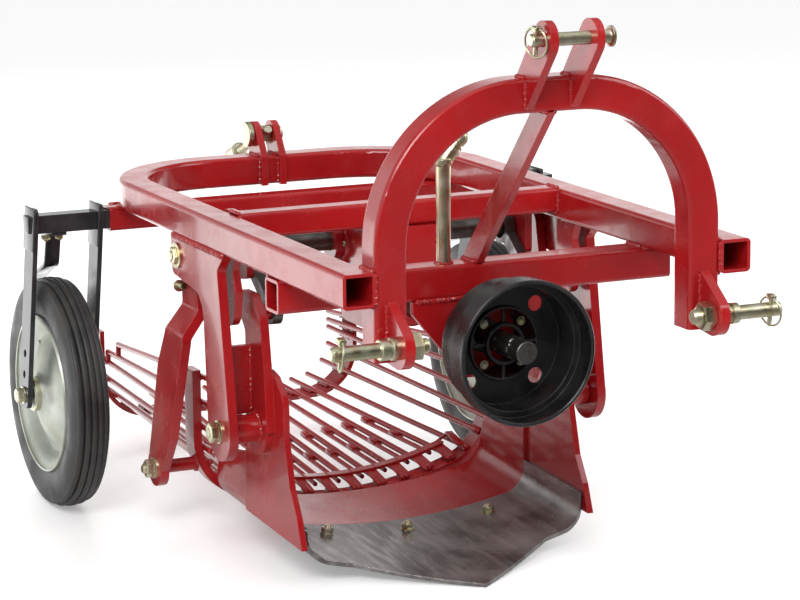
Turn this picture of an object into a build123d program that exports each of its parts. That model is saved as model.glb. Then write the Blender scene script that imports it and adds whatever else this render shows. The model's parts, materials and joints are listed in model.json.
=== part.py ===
from build123d import *
from math import asin, atan2, cos, degrees, pi, radians, sin, sqrt
import os

# Single-row vibrating potato digger for a three-point linkage.
# Millimetres. X runs to the right seen from the tractor, Y rearwards, Z up from the ground.
# The layout has Y = 0 at the front ends of the main frame. write() moves each piece so
# that the origin lies on the ground under the middle of the whole machine.

# main frame: one square tube bent to a U, open to the front
frame_tube = 50.0
frame_wall = 5.0
tube_corner = 7.0
frame_half_width = 325.0
frame_length = 1103.0
frame_top = 548.0
frame_bend = 190.0

# mast: an arch between the arms, with two ears for the top link
arch_front = 3.0
arch_height = 255.0
arch_bend = 205.0
arch_foot_drop = 130.0
ear_spacing = 72.0
ear_thickness = 12.0
ear_radius = 27.0
ear_lean = 51.0
ear_rise = 59.0
top_pin_diameter = 19.0
brace_thickness = 12.0

# cross tubes under and between the arms
front_cross_y = 261.0
mid_cross_y = 532.0
light_tube = 40.0
light_wall = 4.0
mid_tube_depth = 38.0
gauge_y = 970.0
gauge_overhang = 7.0

# lower hitch
hitch_plate = 15.0
hitch_ahead = 33.0
hitch_drop = 53.0
hitch_radius = 30.0
lower_pin_diameter = 22.0
lower_pin_reach = 358.0
lower_pin_tail = 210.0
lower_collar = 28.0
lower_nut = 20.0

# power take-off and shaking drive
pto_height = 391.0
pto_front = 80.0
pto_diameter = 34.9
guard_radius = 107.0
guard_depth = 90.0
guard_wall = 4.0
bracket_half_width = 110.0
bracket_plate = 10.0
crank_y = mid_cross_y + 80
crank_height = frame_top - 71
crank_diameter = 30.0
crank_plate = 12.0
crank_plate_x = frame_half_width - 89
gearbox_half_width = 65.0

# hangers, share pivot and rocker pivot
hanger_plate = 15.0
share_pivot_y = 486.0
share_pivot_z = 219.0
rocker_pivot_y = 655.0
rocker_pivot_z = frame_top - frame_tube - 31
pivot_pin = 24.0
hanger_foot_radius = 46.0
lug_plate = 12.0

# share: side plates with levers, trough and blade
share_inner = frame_half_width - 85
side_plate = 10.0
lever_plate = 14.0
lever_pin_y = share_pivot_y + 12
lever_pin_z = share_pivot_z + 178
rod_bush = 24.0
rod_eye = 20.0
rod_thickness = 16.0
rod_width = 22.0
crank_room = 5.0
share_sheet = 6.0
share_arc = 950.0
share_corner = 45.0
share_front = 217.0
share_rear = 726.0
share_seam = 555.0
share_tilt = 2.6
blade_wing = 80.0

# sieve and its rocker arms
sieve_half_front = share_inner + 25
sieve_half_rear = share_inner + 5
sieve_front_y = 758.0
sieve_rear_y = 1290.0
sieve_rod = 10.0
sieve_floor_end = 1360.0
short_rod_end = 1045.0
comb_y = 800.0
comb_width = 20.0
comb_thickness = 5.0
comb_height = 52.0
comb_overhang = 8.0
arm_plate = 15.0
arm_outer = frame_half_width + 15
arm_foot_y = 742.0
arm_foot_z = 104.0
arm_shaft = 22.0
arm_shaft_stop = 3.4

# gauge wheels
wheel_radius = 192.0
wheel_width = 66.0
rim_radius = 127.0
hub_half = 47.5
fork_inner = frame_half_width + 18
fork_leg = 8.0
fork_leg_width = 45.0
left_lean = 22.0
right_lean = -34.0
fork_room = 4.5
fork_hole = 13.0
fork_hole_pitch = 35.0
gauge_bar = 30.0
axle_diameter = 16.0
axle_overhang = 17.0

# clearances
fit = 0.3
slide = 1.0
side_gap = 2.0
weld_gap = 0.1

# worked out from the values above
arm_inner = frame_half_width - frame_tube
arm_centre = frame_half_width - frame_tube / 2
frame_bottom = frame_top - frame_tube
frame_mid = frame_top - frame_tube / 2
frame_rear_inner = frame_length - frame_tube
arch_centre_y = arch_front + frame_tube / 2
arch_leg_x = arm_inner - frame_tube / 2
arch_top = frame_top + arch_height
arch_underside = arch_top - frame_tube
arch_foot = frame_top - arch_foot_drop
top_pin_y = arch_front - ear_lean
top_pin_z = arch_top + ear_rise
lower_pin_y = arch_front - hitch_ahead
lower_pin_z = frame_bottom - hitch_drop
front_cross_bottom = frame_bottom - frame_tube
front_cross_front = front_cross_y - frame_tube / 2
mid_cross_rear = mid_cross_y + light_tube / 2
mid_cross_bottom = frame_top - mid_tube_depth
gauge_mid = frame_bottom - light_tube / 2
hanger_inner = frame_half_width - hanger_plate
lever_inner = share_inner + side_plate
lever_outer = lever_inner + lever_plate
wheel_x = fork_inner + fork_leg + fork_room + hub_half
left_wheel_x = wheel_x + left_lean
right_wheel_x = wheel_x + right_lean
fork_spread = 2 * (hub_half + fork_room) + fork_leg
axle_reach = hub_half + fork_room + axle_overhang
left_bar_end = fork_inner + fork_spread + 5
right_bar_end = left_wheel_x + axle_reach
machine_front = top_pin_y - ear_radius
machine_rear = sieve_floor_end
origin_y = (machine_front + machine_rear) / 2

os.makedirs("parts", exist_ok=True)


def write(name, solids):
    pieces = solids if isinstance(solids, list) else [solids]
    moved = [Pos(0, -origin_y, 0) * piece for piece in pieces]
    export_step(Compound(moved) if len(moved) > 1 else moved[0], f"parts/{name}.step")


def mirrored(piece):
    return mirror(piece, about=Plane.YZ)


def write_pair(name, left_piece):
    write(f"{name}_left", left_piece)
    write(f"{name}_right", mirrored(left_piece))


def side_plane(x):
    # local x is Y, local y is Z, and extrusion runs towards +X
    return Plane(origin=(x, 0, 0), x_dir=(0, 1, 0), z_dir=(1, 0, 0))


def front_plane(y):
    # local x is X, local y is Z, and extrusion runs towards -Y
    return Plane(origin=(0, y, 0), x_dir=(1, 0, 0), z_dir=(0, -1, 0))


def side_prism(face, x_from, x_to):
    return extrude(side_plane(x_from) * face, amount=x_to - x_from, dir=(1, 0, 0))


def front_prism(face, y_from, y_to):
    return extrude(front_plane(y_to) * face, amount=y_to - y_from, dir=(0, -1, 0))


def outline(corners):
    # each corner is (along, up, rounding)
    face = Polygon(*[(along, up) for along, up, _ in corners], align=None)
    for along, up, rounding in corners:
        if rounding:
            corner = face.vertices().sort_by_distance((along, up, 0))[0]
            face = fillet(corner, rounding)
    return face


def disc(along, up, radius):
    return Pos(along, up) * Circle(radius)


def hull(circles, points):
    edges = [disc(*circle).edges() for circle in circles]
    loop = Polyline(*points, close=True) if len(points) > 2 else Polyline(*points)
    return make_hull(ShapeList([edge for group in edges for edge in group] + list(loop.edges())))


def bar_x(x_from, x_to, y, z, diameter):
    return side_prism(disc(y, z, diameter / 2), x_from, x_to)


def bar_y(y_from, y_to, x, z, diameter):
    return front_prism(disc(x, z, diameter / 2), y_from, y_to)


def round_bar(start, end, diameter):
    direction = Vector(*end) - Vector(*start)
    plane = Plane(origin=start, z_dir=direction.normalized())
    return extrude(plane * Circle(diameter / 2), amount=direction.length)


def square_ring(size, wall):
    outer = RectangleRounded(size, size, tube_corner)
    inner = RectangleRounded(size - 2 * wall, size - 2 * wall, tube_corner - wall)
    return outer - inner


def tube_x(half_length, y, z, size, wall):
    plane = Plane(origin=(-half_length, y, z), x_dir=(0, 1, 0), z_dir=(1, 0, 0))
    return extrude(plane * square_ring(size, wall), amount=2 * half_length)


def main_frame():
    corners = [(-arm_centre, 0), (-arm_centre, frame_length - frame_tube / 2)]
    corners += [(-x, y) for x, y in reversed(corners)]
    path = FilletPolyline(*[(x, y, frame_mid) for x, y in corners], radius=frame_bend)
    start = Plane(origin=(-arm_centre, 0, frame_mid), x_dir=(1, 0, 0), z_dir=(0, 1, 0))
    return sweep(start * square_ring(frame_tube, frame_wall), path=path)


def arch_sweep(section):
    corners = [(-arch_leg_x, arch_foot), (-arch_leg_x, arch_top - frame_tube / 2)]
    corners += [(-x, z) for x, z in reversed(corners)]
    path = FilletPolyline(*[(x, arch_centre_y, z) for x, z in corners], radius=arch_bend)
    start = Plane(origin=(-arch_leg_x, arch_centre_y, arch_foot), x_dir=(1, 0, 0), z_dir=(0, 0, 1))
    return sweep(start * section, path=path)


def mast_arch():
    return arch_sweep(square_ring(frame_tube, frame_wall))


def top_link_ear(x_middle, arch_block):
    foot_low = (arch_front, arch_underside + frame_wall)
    foot_back = (arch_front + 0.6 * frame_tube, arch_top)
    face = hull([(top_pin_y, top_pin_z, ear_radius)], [foot_low, foot_back])
    face -= disc(top_pin_y, top_pin_z, top_pin_diameter / 2 + fit)
    plate = side_prism(face, x_middle - ear_thickness / 2, x_middle + ear_thickness / 2)
    return plate - arch_block


def top_link_ears():
    arch_block = arch_sweep(RectangleRounded(frame_tube, frame_tube, tube_corner))
    return [top_link_ear(side * ear_spacing / 2, arch_block) for side in (-1, 1)]


def top_link_pin():
    grip = ear_spacing / 2 + ear_thickness / 2
    head_x = grip + 20
    tail_x = -grip - 19
    shank = bar_x(tail_x, head_x, top_pin_y, top_pin_z, top_pin_diameter)
    return shank + bar_x(head_x, head_x + 6, top_pin_y, top_pin_z, 1.6 * top_pin_diameter)


def mast_brace():
    back = arch_front + frame_tube
    foot_front = front_cross_front
    foot_back = front_cross_front + frame_tube
    corners = [(arch_front, arch_underside, 0), (back, arch_underside, 0)]
    corners += [(foot_back, frame_bottom, 0), (foot_front, frame_bottom, 0)]
    return side_prism(outline(corners), -brace_thickness / 2, brace_thickness / 2)


def mast_prop():
    x = -48.0
    rod_top = frame_bottom + 150
    # height above the cross tube, bottom radius, top radius, length
    sections = [(0, 11, 11, 150), (150, 14, 14, 10), (160, 14, 6, 16), (176, 6, 6, 10), (186, 10, 10, 12)]
    prop = None
    for height, low, high, length in sections:
        piece = Cylinder(low, length) if low == high else Cone(low, high, length)
        piece = Pos(x, front_cross_y, frame_bottom + height + length / 2) * piece
        prop = piece if prop is None else prop + piece
    return prop


def hitch_plate_left():
    # stands on the front face of the arch leg
    corners = [(arch_front, arch_foot), (arch_front, frame_bottom + 7)]
    face = hull([(lower_pin_y, lower_pin_z, hitch_radius)], corners)
    face -= disc(lower_pin_y, lower_pin_z, lower_pin_diameter / 2 + fit)
    return side_prism(face, -arch_leg_x - hitch_plate / 2, -arch_leg_x + hitch_plate / 2)


def hitch_pin_left():
    outer = -arch_leg_x - hitch_plate / 2
    inner = -arch_leg_x + hitch_plate / 2
    nut_across = 1.7 * lower_pin_diameter
    shank = bar_x(-lower_pin_reach, -lower_pin_tail, lower_pin_y, lower_pin_z, lower_pin_diameter)
    collar = bar_x(outer - lower_collar, outer, lower_pin_y, lower_pin_z, 1.5 * lower_pin_diameter)
    nut_face = Pos(lower_pin_y, lower_pin_z) * RegularPolygon(nut_across / 2, 6, major_radius=False)
    return shank + collar + side_prism(nut_face, inner, inner + lower_nut)


def hanger_left():
    corners = [
        (454, frame_bottom, 0),
        (482, frame_bottom - 26, 8),
        (share_pivot_y - hanger_foot_radius, share_pivot_z, 0),
        (share_pivot_y + hanger_foot_radius, share_pivot_z, 0),
        (545, frame_bottom - 76, 45),
        (rocker_pivot_y + 24, frame_bottom - 62, 14),
        (rocker_pivot_y + 26, frame_bottom, 0),
    ]
    face = outline(corners) + disc(share_pivot_y, share_pivot_z, hanger_foot_radius)
    face -= disc(share_pivot_y, share_pivot_z, pivot_pin / 2 + fit)
    face -= disc(rocker_pivot_y, rocker_pivot_z, pivot_pin / 2 + fit)
    return side_prism(face, -frame_half_width, -hanger_inner)


def pivot_lug_left():
    inner = lever_outer + side_gap + 20
    corners = [
        (474, frame_bottom, 0),
        (486, frame_bottom - 30, 6),
        (474, frame_bottom - 60, 10),
        (484, frame_bottom - 118, 26),
        (540, frame_bottom - 118, 26),
        (540, frame_bottom, 0),
    ]
    return side_prism(outline(corners), -inner - lug_plate, -inner)


def drive_bracket():
    half = bracket_half_width
    corners = [(-half, front_cross_bottom, 0), (-half, front_cross_bottom - 20, 0)]
    corners += [(-50, pto_height - 36, 0), (-50, pto_height - 66, 0)]
    corners += [(-x, z, 0) for x, z, _ in reversed(corners)]
    plate = front_prism(outline(corners), front_cross_front, front_cross_front + bracket_plate)
    boss_end = front_cross_front + bracket_plate + 36
    boss = bar_y(front_cross_front + bracket_plate, boss_end, 0, pto_height, 2.2 * pto_diameter)
    bore = bar_y(front_cross_front - 1, boss_end + 1, 0, pto_height, pto_diameter + 2 * fit)
    return plate + boss - bore


def pto_guard():
    # outer radius, front and rear of each step of the cup
    mouth = pto_front - 5
    back = mouth + guard_depth
    steps = [(guard_radius, mouth, mouth + 40), (guard_radius - 10, mouth + 40, back)]
    cup = bar_y(back, front_cross_front, 0, pto_height, 120)
    for radius, front, rear in steps:
        cup += bar_y(front, rear, 0, pto_height, 2 * radius)
    for radius, front, rear in steps:
        cup -= bar_y(front - guard_wall - 1, rear - guard_wall, 0, pto_height, 2 * (radius - guard_wall))
    cup -= bar_y(back - guard_wall - 1, front_cross_front + 1, 0, pto_height, 120 - 2 * guard_wall)
    for turn in range(4):
        angle = radians(45 + 90 * turn)
        x = 77 * cos(angle)
        z = pto_height + 77 * sin(angle)
        cup -= bar_y(back - guard_wall - 1, back + 1, x, z, 24)
    return cup


def pto_shaft():
    body = bar_y(pto_front, crank_y - 97, 0, pto_height, pto_diameter)
    collar = bar_y(front_cross_front - 14, front_cross_front - 1, 0, pto_height, 1.5 * pto_diameter)
    return body + collar


def gearbox():
    front = crank_y - 112
    rear = crank_y + 48
    corners = [
        (front, mid_cross_bottom, 0),
        (front, pto_height - 40, 20),
        (crank_y - 10, pto_height - 40, 30),
        (rear, crank_height - 40, 20),
        (rear, mid_cross_bottom, 16),
    ]
    block = side_prism(outline(corners), -gearbox_half_width, gearbox_half_width)
    block += bar_y(front - 25, front, 0, pto_height, 2 * pto_diameter)
    for side in (-1, 1):
        ends = sorted((side * gearbox_half_width, side * (gearbox_half_width + 18)))
        block += bar_x(*ends, crank_y, crank_height, 2 * crank_diameter)
    reach = gearbox_half_width + 20
    block -= bar_x(-reach, reach, crank_y, crank_height, crank_diameter + 2 * fit)
    return block - bar_y(front - 26, crank_y - 96, 0, pto_height, pto_diameter + 2 * fit)


def crankshaft():
    reach = crank_plate_x + crank_plate + 4
    return bar_x(-reach, reach, crank_y, crank_height, crank_diameter)


def crank_plate_left():
    corners = [
        (mid_cross_rear, frame_top - 10, 0),
        (mid_cross_rear, crank_height - 37, 10),
        (crank_y - 30, crank_height - 42, 20),
        (crank_y + 42, crank_height - 30, 30),
        (crank_y + 42, frame_top - 10, 20),
    ]
    face = outline(corners) - disc(crank_y, crank_height, crank_diameter / 2 + fit)
    return side_prism(face, -crank_plate_x - crank_plate, -crank_plate_x)


def connecting_rod_left():
    # small eye on the lever pin, large eye round the crankshaft with room for the stroke
    outer = lever_inner - 16
    inner = outer - rod_thickness
    large = crank_diameter / 2 + crank_room
    turn = degrees(atan2(crank_height - lever_pin_z, crank_y - lever_pin_y))
    length = Vector(crank_y - lever_pin_y, crank_height - lever_pin_z).length
    web = Pos(lever_pin_y, lever_pin_z) * Rot(0, 0, turn) * Pos(length / 2, 0) * Rectangle(length, rod_width)
    face = web + disc(lever_pin_y, lever_pin_z, rod_eye) + disc(crank_y, crank_height, large + 8)
    face -= disc(lever_pin_y, lever_pin_z, rod_bush / 2 + fit)
    face -= disc(crank_y, crank_height, large)
    return side_prism(face, -outer, -inner)


def share_side_left():
    y = share_pivot_y
    z = share_pivot_z
    plate_corners = [
        (y - 44, z + 88, 0),
        (y - 12, z + 95, 10),
        (y + 50, z - 19, 40),
        (y + 84, z - 59, 0),
        (y + 84, z - 153, 0),
        (y - 145, z - 163, 0),
        (y - 127, z - 118, 0),
        (y - 101, z - 77, 0),
        (y - 80, z - 3, 30),
        (y - 79, z + 59, 30),
    ]
    plate = side_prism(outline(plate_corners), -lever_inner, -share_inner)
    lever_corners = [
        (y - hanger_foot_radius, z, 0),
        (y - 36, z + 103, 0),
        (lever_pin_y - 36, lever_pin_z, 30),
        (lever_pin_y - 2, lever_pin_z + 30, 18),
        (lever_pin_y + 50, lever_pin_z + 30, 12),
        (lever_pin_y + 58, lever_pin_z + 2, 12),
        (lever_pin_y + 26, lever_pin_z - 30, 20),
        (y + 40, z, 0),
    ]
    face = outline(lever_corners) + disc(y, z, hanger_foot_radius - 4)
    lever = side_prism(face, -lever_outer, -lever_inner)
    boss = bar_x(-hanger_inner + side_gap, -lever_outer, y, z, 45)
    pin = bar_x(-frame_half_width - 6, -lever_outer, y, z, pivot_pin)
    web_corners = [(y + 17, z + 20, 0), (y + 17, z + 128, 0), (y + 27, z + 128, 0), (y + 27, z + 20, 0)]
    web = side_prism(outline(web_corners), -hanger_inner + side_gap, -lever_outer)
    rod_pin = bar_x(-lever_inner, -lever_inner + 34, lever_pin_y, lever_pin_z, rod_bush)
    return plate + lever + boss + pin + web + rod_pin


def cradle(half, bottom, top, arc, corner):
    # U-shaped outline: upright sides, rounded corners, and a broad arc below
    box = Pos(0, (bottom + top) / 2) * Rectangle(2 * half, top - bottom)
    face = box & disc(0, bottom + arc, arc)
    return fillet(face.vertices().group_by(Axis.Y)[0], corner)


def cradle_strip(half, bottom, top, arc, corner, thickness):
    # the five sizes are those of the outer face
    inner = cradle(half - thickness, bottom + thickness, top + 1, arc - thickness, corner - thickness)
    return cradle(half, bottom, top, arc, corner) - inner


def share_body():
    # one section drawn back along a line that climbs at share_tilt
    face = cradle_strip(share_inner, 0, share_inner, share_arc, share_corner, share_sheet)
    length = share_rear - share_front
    rise = length * sin(radians(share_tilt)) / cos(radians(share_tilt))
    travel = Vector(0, length, rise)
    return extrude(front_plane(share_front) * face, amount=travel.length, dir=travel.normalized())


def share_plan(blade):
    # half outline seen from above; behind the front edge the distances are from the tip
    half = share_inner + 1
    edge = [(0, 0), (92, 70), (165, 123), (205, 128), (half - 8, 137), (half, 144)]
    front = [(x, share_front + y) for x, y in edge]
    if blade:
        side = front + [(half, share_seam), (0, share_seam)]
    else:
        side = [(0, share_seam), (half, share_seam), (half, share_rear + 1), (0, share_rear + 1)]
    whole = side + [(-x, y) for x, y in reversed(side) if x > 0]
    return extrude(Polygon(*whole, align=None), amount=share_inner, dir=(0, 0, 1))


def share_wall_region(corners):
    return side_prism(outline(corners), -share_inner - 5, share_inner + 5)


def share_trough():
    top_rear = share_rear - 24
    corners = [(share_seam - 5, -20, 0), (share_rear + 5, -20, 0), (share_rear + 5, 60, 0)]
    corners += [(top_rear, 138, 8), (share_seam - 5, 163, 0)]
    return share_body() & share_plan(False) & share_wall_region(corners)


def share_blade():
    wing_front = share_front + 144
    corners = [(share_front - 5, -20, 0), (share_seam + 5, -20, 0), (share_seam + 5, blade_wing + 15, 0)]
    corners += [(wing_front, blade_wing + 7, 10), (wing_front - 40, 55, 30), (share_front - 5, 40, 0)]
    return share_body() & share_plan(True) & share_wall_region(corners)


def rocker_arm_left():
    side_corners = [
        (rocker_pivot_y - 28, rocker_pivot_z, 0),
        (598, 340, 20),
        (620, 285, 0),
        (668, 165, 0),
        (arm_foot_y - 30, arm_foot_z, 0),
        (arm_foot_y + 30, arm_foot_z, 0),
        (arm_foot_y + 14, 150, 0),
        (714, 285, 0),
        (676, 345, 20),
        (rocker_pivot_y + 28, rocker_pivot_z, 0),
    ]
    eye = frame_bottom - rocker_pivot_z - 3
    side_face = outline(side_corners) + disc(rocker_pivot_y, rocker_pivot_z, eye)
    side_face += disc(arm_foot_y, arm_foot_z, 30)
    blank = side_prism(side_face, -arm_outer - 5, -280)
    top_outer = hanger_inner - slide
    step = arm_outer - top_outer
    bend_top = 385.0
    bend_low = bend_top - 1.2 * step
    bent = [
        (-top_outer, rocker_pivot_z + 50, 0),
        (-top_outer, bend_top, 12),
        (-arm_outer, bend_low, 12),
        (-arm_outer, 50, 0),
        (-arm_outer + arm_plate, 50, 0),
        (-arm_outer + arm_plate, bend_low - 6, 12),
        (-top_outer + arm_plate, bend_top - 6, 12),
        (-top_outer + arm_plate, rocker_pivot_z + 50, 0),
    ]
    arm = blank & front_prism(outline(bent), 580, 800)
    pin = bar_x(-frame_half_width - 6, -top_outer, rocker_pivot_y, rocker_pivot_z, pivot_pin)
    shaft_end = -sieve_half_front - arm_shaft_stop
    shaft = bar_x(-arm_outer - 12, shaft_end, arm_foot_y, arm_foot_z, arm_shaft)
    return arm + pin + shaft


front_bar = dict(y=sieve_front_y, width=38, half=sieve_half_front, bottom=14, top=258)
front_bar |= dict(arc=580, corner=100, thickness=14)
rear_bar = dict(y=sieve_rear_y, width=50, half=sieve_half_rear, bottom=58, top=220)
rear_bar |= dict(arc=4000, corner=86, thickness=8)


def sieve_bar(y, width, half, bottom, top, arc, corner, thickness):
    # the sizes are those of the middle of the flat
    grow = thickness / 2
    face = cradle_strip(half + grow, bottom - grow, top, arc + grow, corner + grow, thickness)
    return front_prism(face, y - width / 2, y + width / 2)


def floor_seat(bar, part_of_arc, part_of_bend):
    # middle of a rod lying in the bar: along the broad arc, then up the corner bend
    inset = (bar["thickness"] + sieve_rod) / 2 + weld_gap
    arc = bar["arc"] - inset
    corner = bar["corner"] - inset
    bend_x = bar["half"] - inset - corner
    arc_end = asin(bend_x / (arc - corner))
    arc_middle = bar["bottom"] + bar["arc"]
    side = 1 if part_of_arc > 0 else -1
    angle = abs(part_of_arc) * arc_end + part_of_bend * (pi / 2 - arc_end)
    if part_of_bend:
        bend_z = arc_middle - (arc - corner) * cos(arc_end)
        return side * (bend_x + corner * sin(angle)), bend_z - corner * cos(angle)
    return side * arc * sin(angle), arc_middle - arc * cos(angle)


def side_seat(bar, z):
    # how far out a rod lies at height z, against the upright side or in the corner bend
    inset = (bar["thickness"] + sieve_rod) / 2 + weld_gap
    bend_x = bar["half"] - bar["corner"]
    fall = bar["arc"] - bar["corner"]
    bend_z = bar["bottom"] + bar["arc"] - fall * cos(asin(bend_x / fall))
    return bend_x + sqrt((bar["corner"] - inset) ** 2 - max(bend_z - z, 0) ** 2)


def along_rod(front, rear, y):
    # front and rear are the seats at the front edges of the two bars
    y_front = front_bar["y"] - front_bar["width"] / 2
    y_rear = rear_bar["y"] - rear_bar["width"] / 2
    part = (y - y_front) / (y_rear - y_front)
    return tuple(a + (b - a) * part for a, b in zip(front, rear))


def floor_rods():
    # part of the broad arc, part of the corner bend, rear end
    rows = [(-1 + 2 * i / 9, 0, sieve_floor_end if i % 2 == 0 else short_rod_end) for i in range(10)]
    rows += [(side, climb, sieve_floor_end) for side in (-1, 1) for climb in (0.28, 0.6)]
    rods = []
    for part_of_arc, part_of_bend, y_end in rows:
        front = floor_seat(front_bar, part_of_arc, part_of_bend)
        rear = floor_seat(rear_bar, part_of_arc, part_of_bend)
        y_start = front_bar["y"] - 13
        x0, z0 = along_rod(front, rear, y_start)
        x1, z1 = along_rod(front, rear, y_end)
        rods.append(round_bar((x0, y_start, z0), (x1, y_end, z1), sieve_rod))
    return rods


def sieve_comb():
    # flat strip lying across the tops of the floor rods, behind the front bar
    outermost = [floor_seat(bar, 1, 0) for bar in (front_bar, rear_bar)]
    middle = [floor_seat(bar, 0, 0) for bar in (front_bar, rear_bar)]
    y_back = comb_y + comb_width / 2
    x_side, z_side = along_rod(*outermost, y_back)
    z_middle = along_rod(*middle, y_back)[1]
    sag = z_side - z_middle
    arc = (x_side * x_side + sag * sag) / (2 * sag)
    lift = sieve_rod / 2 + weld_gap
    ring = disc(0, z_middle + arc, arc - lift) - disc(0, z_middle + arc, arc - lift - comb_thickness)
    keep = Pos(0, z_middle + comb_height / 2) * Rectangle(2 * (x_side + comb_overhang), comb_height)
    return front_prism(ring & keep, comb_y - comb_width / 2, y_back)


def side_rods_left(rear_ends):
    # height at the front bar and at the rear bar, from the top rod down
    heights = [(246, 203), (203, 183), (162, 165), (128, 133)]
    y_start = front_bar["y"] - 39
    rods = []
    for (z_front, z_rear), y_end in zip(heights, rear_ends):
        seats = (-side_seat(front_bar, z_front), z_front), (-side_seat(rear_bar, z_rear), z_rear)
        x0, z0 = along_rod(*seats, y_start)
        x1, z1 = along_rod(*seats, y_end)
        rods.append(round_bar((x0, y_start, z0), (x1, y_end, z1), sieve_rod))
    return rods


def tyre(place_x):
    half = wheel_width / 2
    crown = wheel_radius
    corners = [
        (-half + 6, rim_radius, 0),
        (-half, rim_radius + 22, 14),
        (-half + 4, crown - 10, 14),
        (-12, crown, 0),
        (12, crown, 0),
        (half - 4, crown - 10, 14),
        (half, rim_radius + 22, 14),
        (half - 6, rim_radius, 0),
    ]
    return Pos(-place_x, gauge_y, wheel_radius) * revolve(Plane.XZ * outline(corners), Axis.X)


def rim(place_x):
    half = wheel_width / 2
    dish = rim_radius - 14
    corners = [
        (-half + 4, rim_radius, 0),
        (-half + 4, dish, 0),
        (-12, dish, 0),
        (-12, 36, 0),
        (-hub_half, 30, 0),
        (-hub_half, axle_diameter / 2 + fit, 0),
        (hub_half, axle_diameter / 2 + fit, 0),
        (hub_half, 30, 0),
        (-4, 36, 0),
        (-4, dish, 0),
        (half - 4, dish, 0),
        (half - 4, rim_radius, 0),
    ]
    return Pos(-place_x, gauge_y, wheel_radius) * revolve(Plane.XZ * outline(corners), Axis.X)


def wheel_fork(lean, bar_end):
    # two legs of flat steel, seen from the front in leg_face; lean is outwards, at the axle
    leg_low = wheel_radius - 20
    leg_high = gauge_mid + 26
    foot = lean * (leg_high - leg_low) / (leg_high - wheel_radius)
    half = fork_leg_width / 2
    corners = [(gauge_y - half, leg_low, 8), (gauge_y - half, leg_high, 14)]
    corners += [(gauge_y + half, leg_high, 14), (gauge_y + half, leg_low, 8)]
    face = outline(corners)
    for step in (1, 2):
        face -= disc(gauge_y, wheel_radius + step * fork_hole_pitch, fork_hole / 2)
    blank = side_prism(face, -fork_inner - fork_spread - fork_leg - abs(foot), -fork_inner + abs(foot))
    fork = side_prism(Pos(gauge_y, gauge_mid) * Rectangle(gauge_bar, gauge_bar), -bar_end, -240)
    for top_x in (-fork_inner, -fork_inner - fork_spread):
        leg_face = Polygon(
            (top_x, leg_high),
            (top_x - fork_leg, leg_high),
            (top_x - fork_leg - foot, leg_low),
            (top_x - foot, leg_low),
            align=None,
        )
        fork += blank & front_prism(leg_face, gauge_y - half, gauge_y + half)
    axle_x = -wheel_x - lean
    return fork + bar_x(axle_x - axle_reach, axle_x + axle_reach, gauge_y, wheel_radius, axle_diameter)


def scraper(place_x):
    # a bent strap that hangs from the wheel bar and passes close behind the top of the tyre
    under = gauge_mid - gauge_bar / 2
    tyre_top = 2 * wheel_radius
    strap = 6.0
    corners = [
        (gauge_y - 12, under, 0),
        (gauge_y + 22, under, 18),
        (gauge_y + 38, tyre_top + 20, 26),
        (gauge_y + 118, tyre_top - 16, 0),
        (gauge_y + 115.5, tyre_top - 21.5, 0),
        (gauge_y + 33, tyre_top + 15.7, 20),
        (gauge_y + 17.4, under - strap, 12),
        (gauge_y - 12, under - strap, 0),
    ]
    return side_prism(outline(corners), -place_x - 20, -place_x + 20)


def rear_clevis():
    ears = []
    tube = Pos(0, frame_length - frame_tube / 2, frame_mid) * Box(200, frame_tube, frame_tube)
    for side in (-1, 1):
        points = [(frame_rear_inner - 10, frame_bottom), (frame_rear_inner, frame_bottom)]
        points += [(frame_length - 3, frame_top), (frame_rear_inner - 10, frame_top)]
        face = hull([(frame_rear_inner + 38, frame_top + 34, 22)], points)
        face -= disc(frame_rear_inner + 38, frame_top + 34, 8 + fit)
        ears.append(side_prism(face, side * 17 - 6, side * 17 + 6) - tube)
    return ears


def levelling_screw():
    y = frame_rear_inner + 38
    z = frame_top + 34
    pin = bar_x(-34, 30, y, z, 16)
    block = Pos(0, y, z) * Box(21, 26, 26)
    screw = round_bar((0, y - 24, z + 10), (0, y + 170, z - 69), 16)
    grip = round_bar((0, y + 110, z - 44.6), (0, y + 150, z - 60.9), 30)
    washer = bar_x(-34, -24, y, z, 44)
    return pin + block + screw + grip + washer


write("main_frame", main_frame())
write("mast_arch", mast_arch())
front_cross_mid = frame_bottom - frame_tube / 2
write("front_cross_tube", tube_x(frame_half_width, front_cross_y, front_cross_mid, frame_tube, frame_wall))
mid_cross_mid = mid_cross_bottom + light_tube / 2
write("mid_cross_tube", tube_x(arm_inner, mid_cross_y, mid_cross_mid, light_tube, light_wall))
gauge_half = frame_half_width + gauge_overhang
write("gauge_tube", tube_x(gauge_half, gauge_y, gauge_mid, light_tube, light_wall))
write("top_link_ears", top_link_ears())
write("top_link_pin", top_link_pin())
write("mast_brace", mast_brace())
write("mast_prop", mast_prop())
write_pair("hitch_plate", hitch_plate_left())
write_pair("hitch_pin", hitch_pin_left())
write_pair("hanger", hanger_left())
write_pair("pivot_lug", pivot_lug_left())
write("drive_bracket", drive_bracket())
write("pto_guard", pto_guard())
write("pto_shaft", pto_shaft())
write("gearbox", gearbox())
write("crankshaft", crankshaft())
write_pair("crank_plate", crank_plate_left())
write_pair("connecting_rod", connecting_rod_left())
write_pair("share_side", share_side_left())
write("share_trough", share_trough())
write("share_blade", share_blade())
write_pair("rocker_arm", rocker_arm_left())
write("sieve_front_bar", sieve_bar(**front_bar))
write("sieve_rear_bar", sieve_bar(**rear_bar))
write("sieve_comb", sieve_comb())
write("floor_rods", floor_rods())
full_length = [sieve_floor_end] * 4
write("side_rods_left", side_rods_left([1200, 1262, sieve_floor_end, sieve_floor_end]))
write("side_rods_right", [mirrored(rod) for rod in side_rods_left(full_length)])
write("tyre_left", tyre(left_wheel_x))
write("tyre_right", mirrored(tyre(right_wheel_x)))
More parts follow.
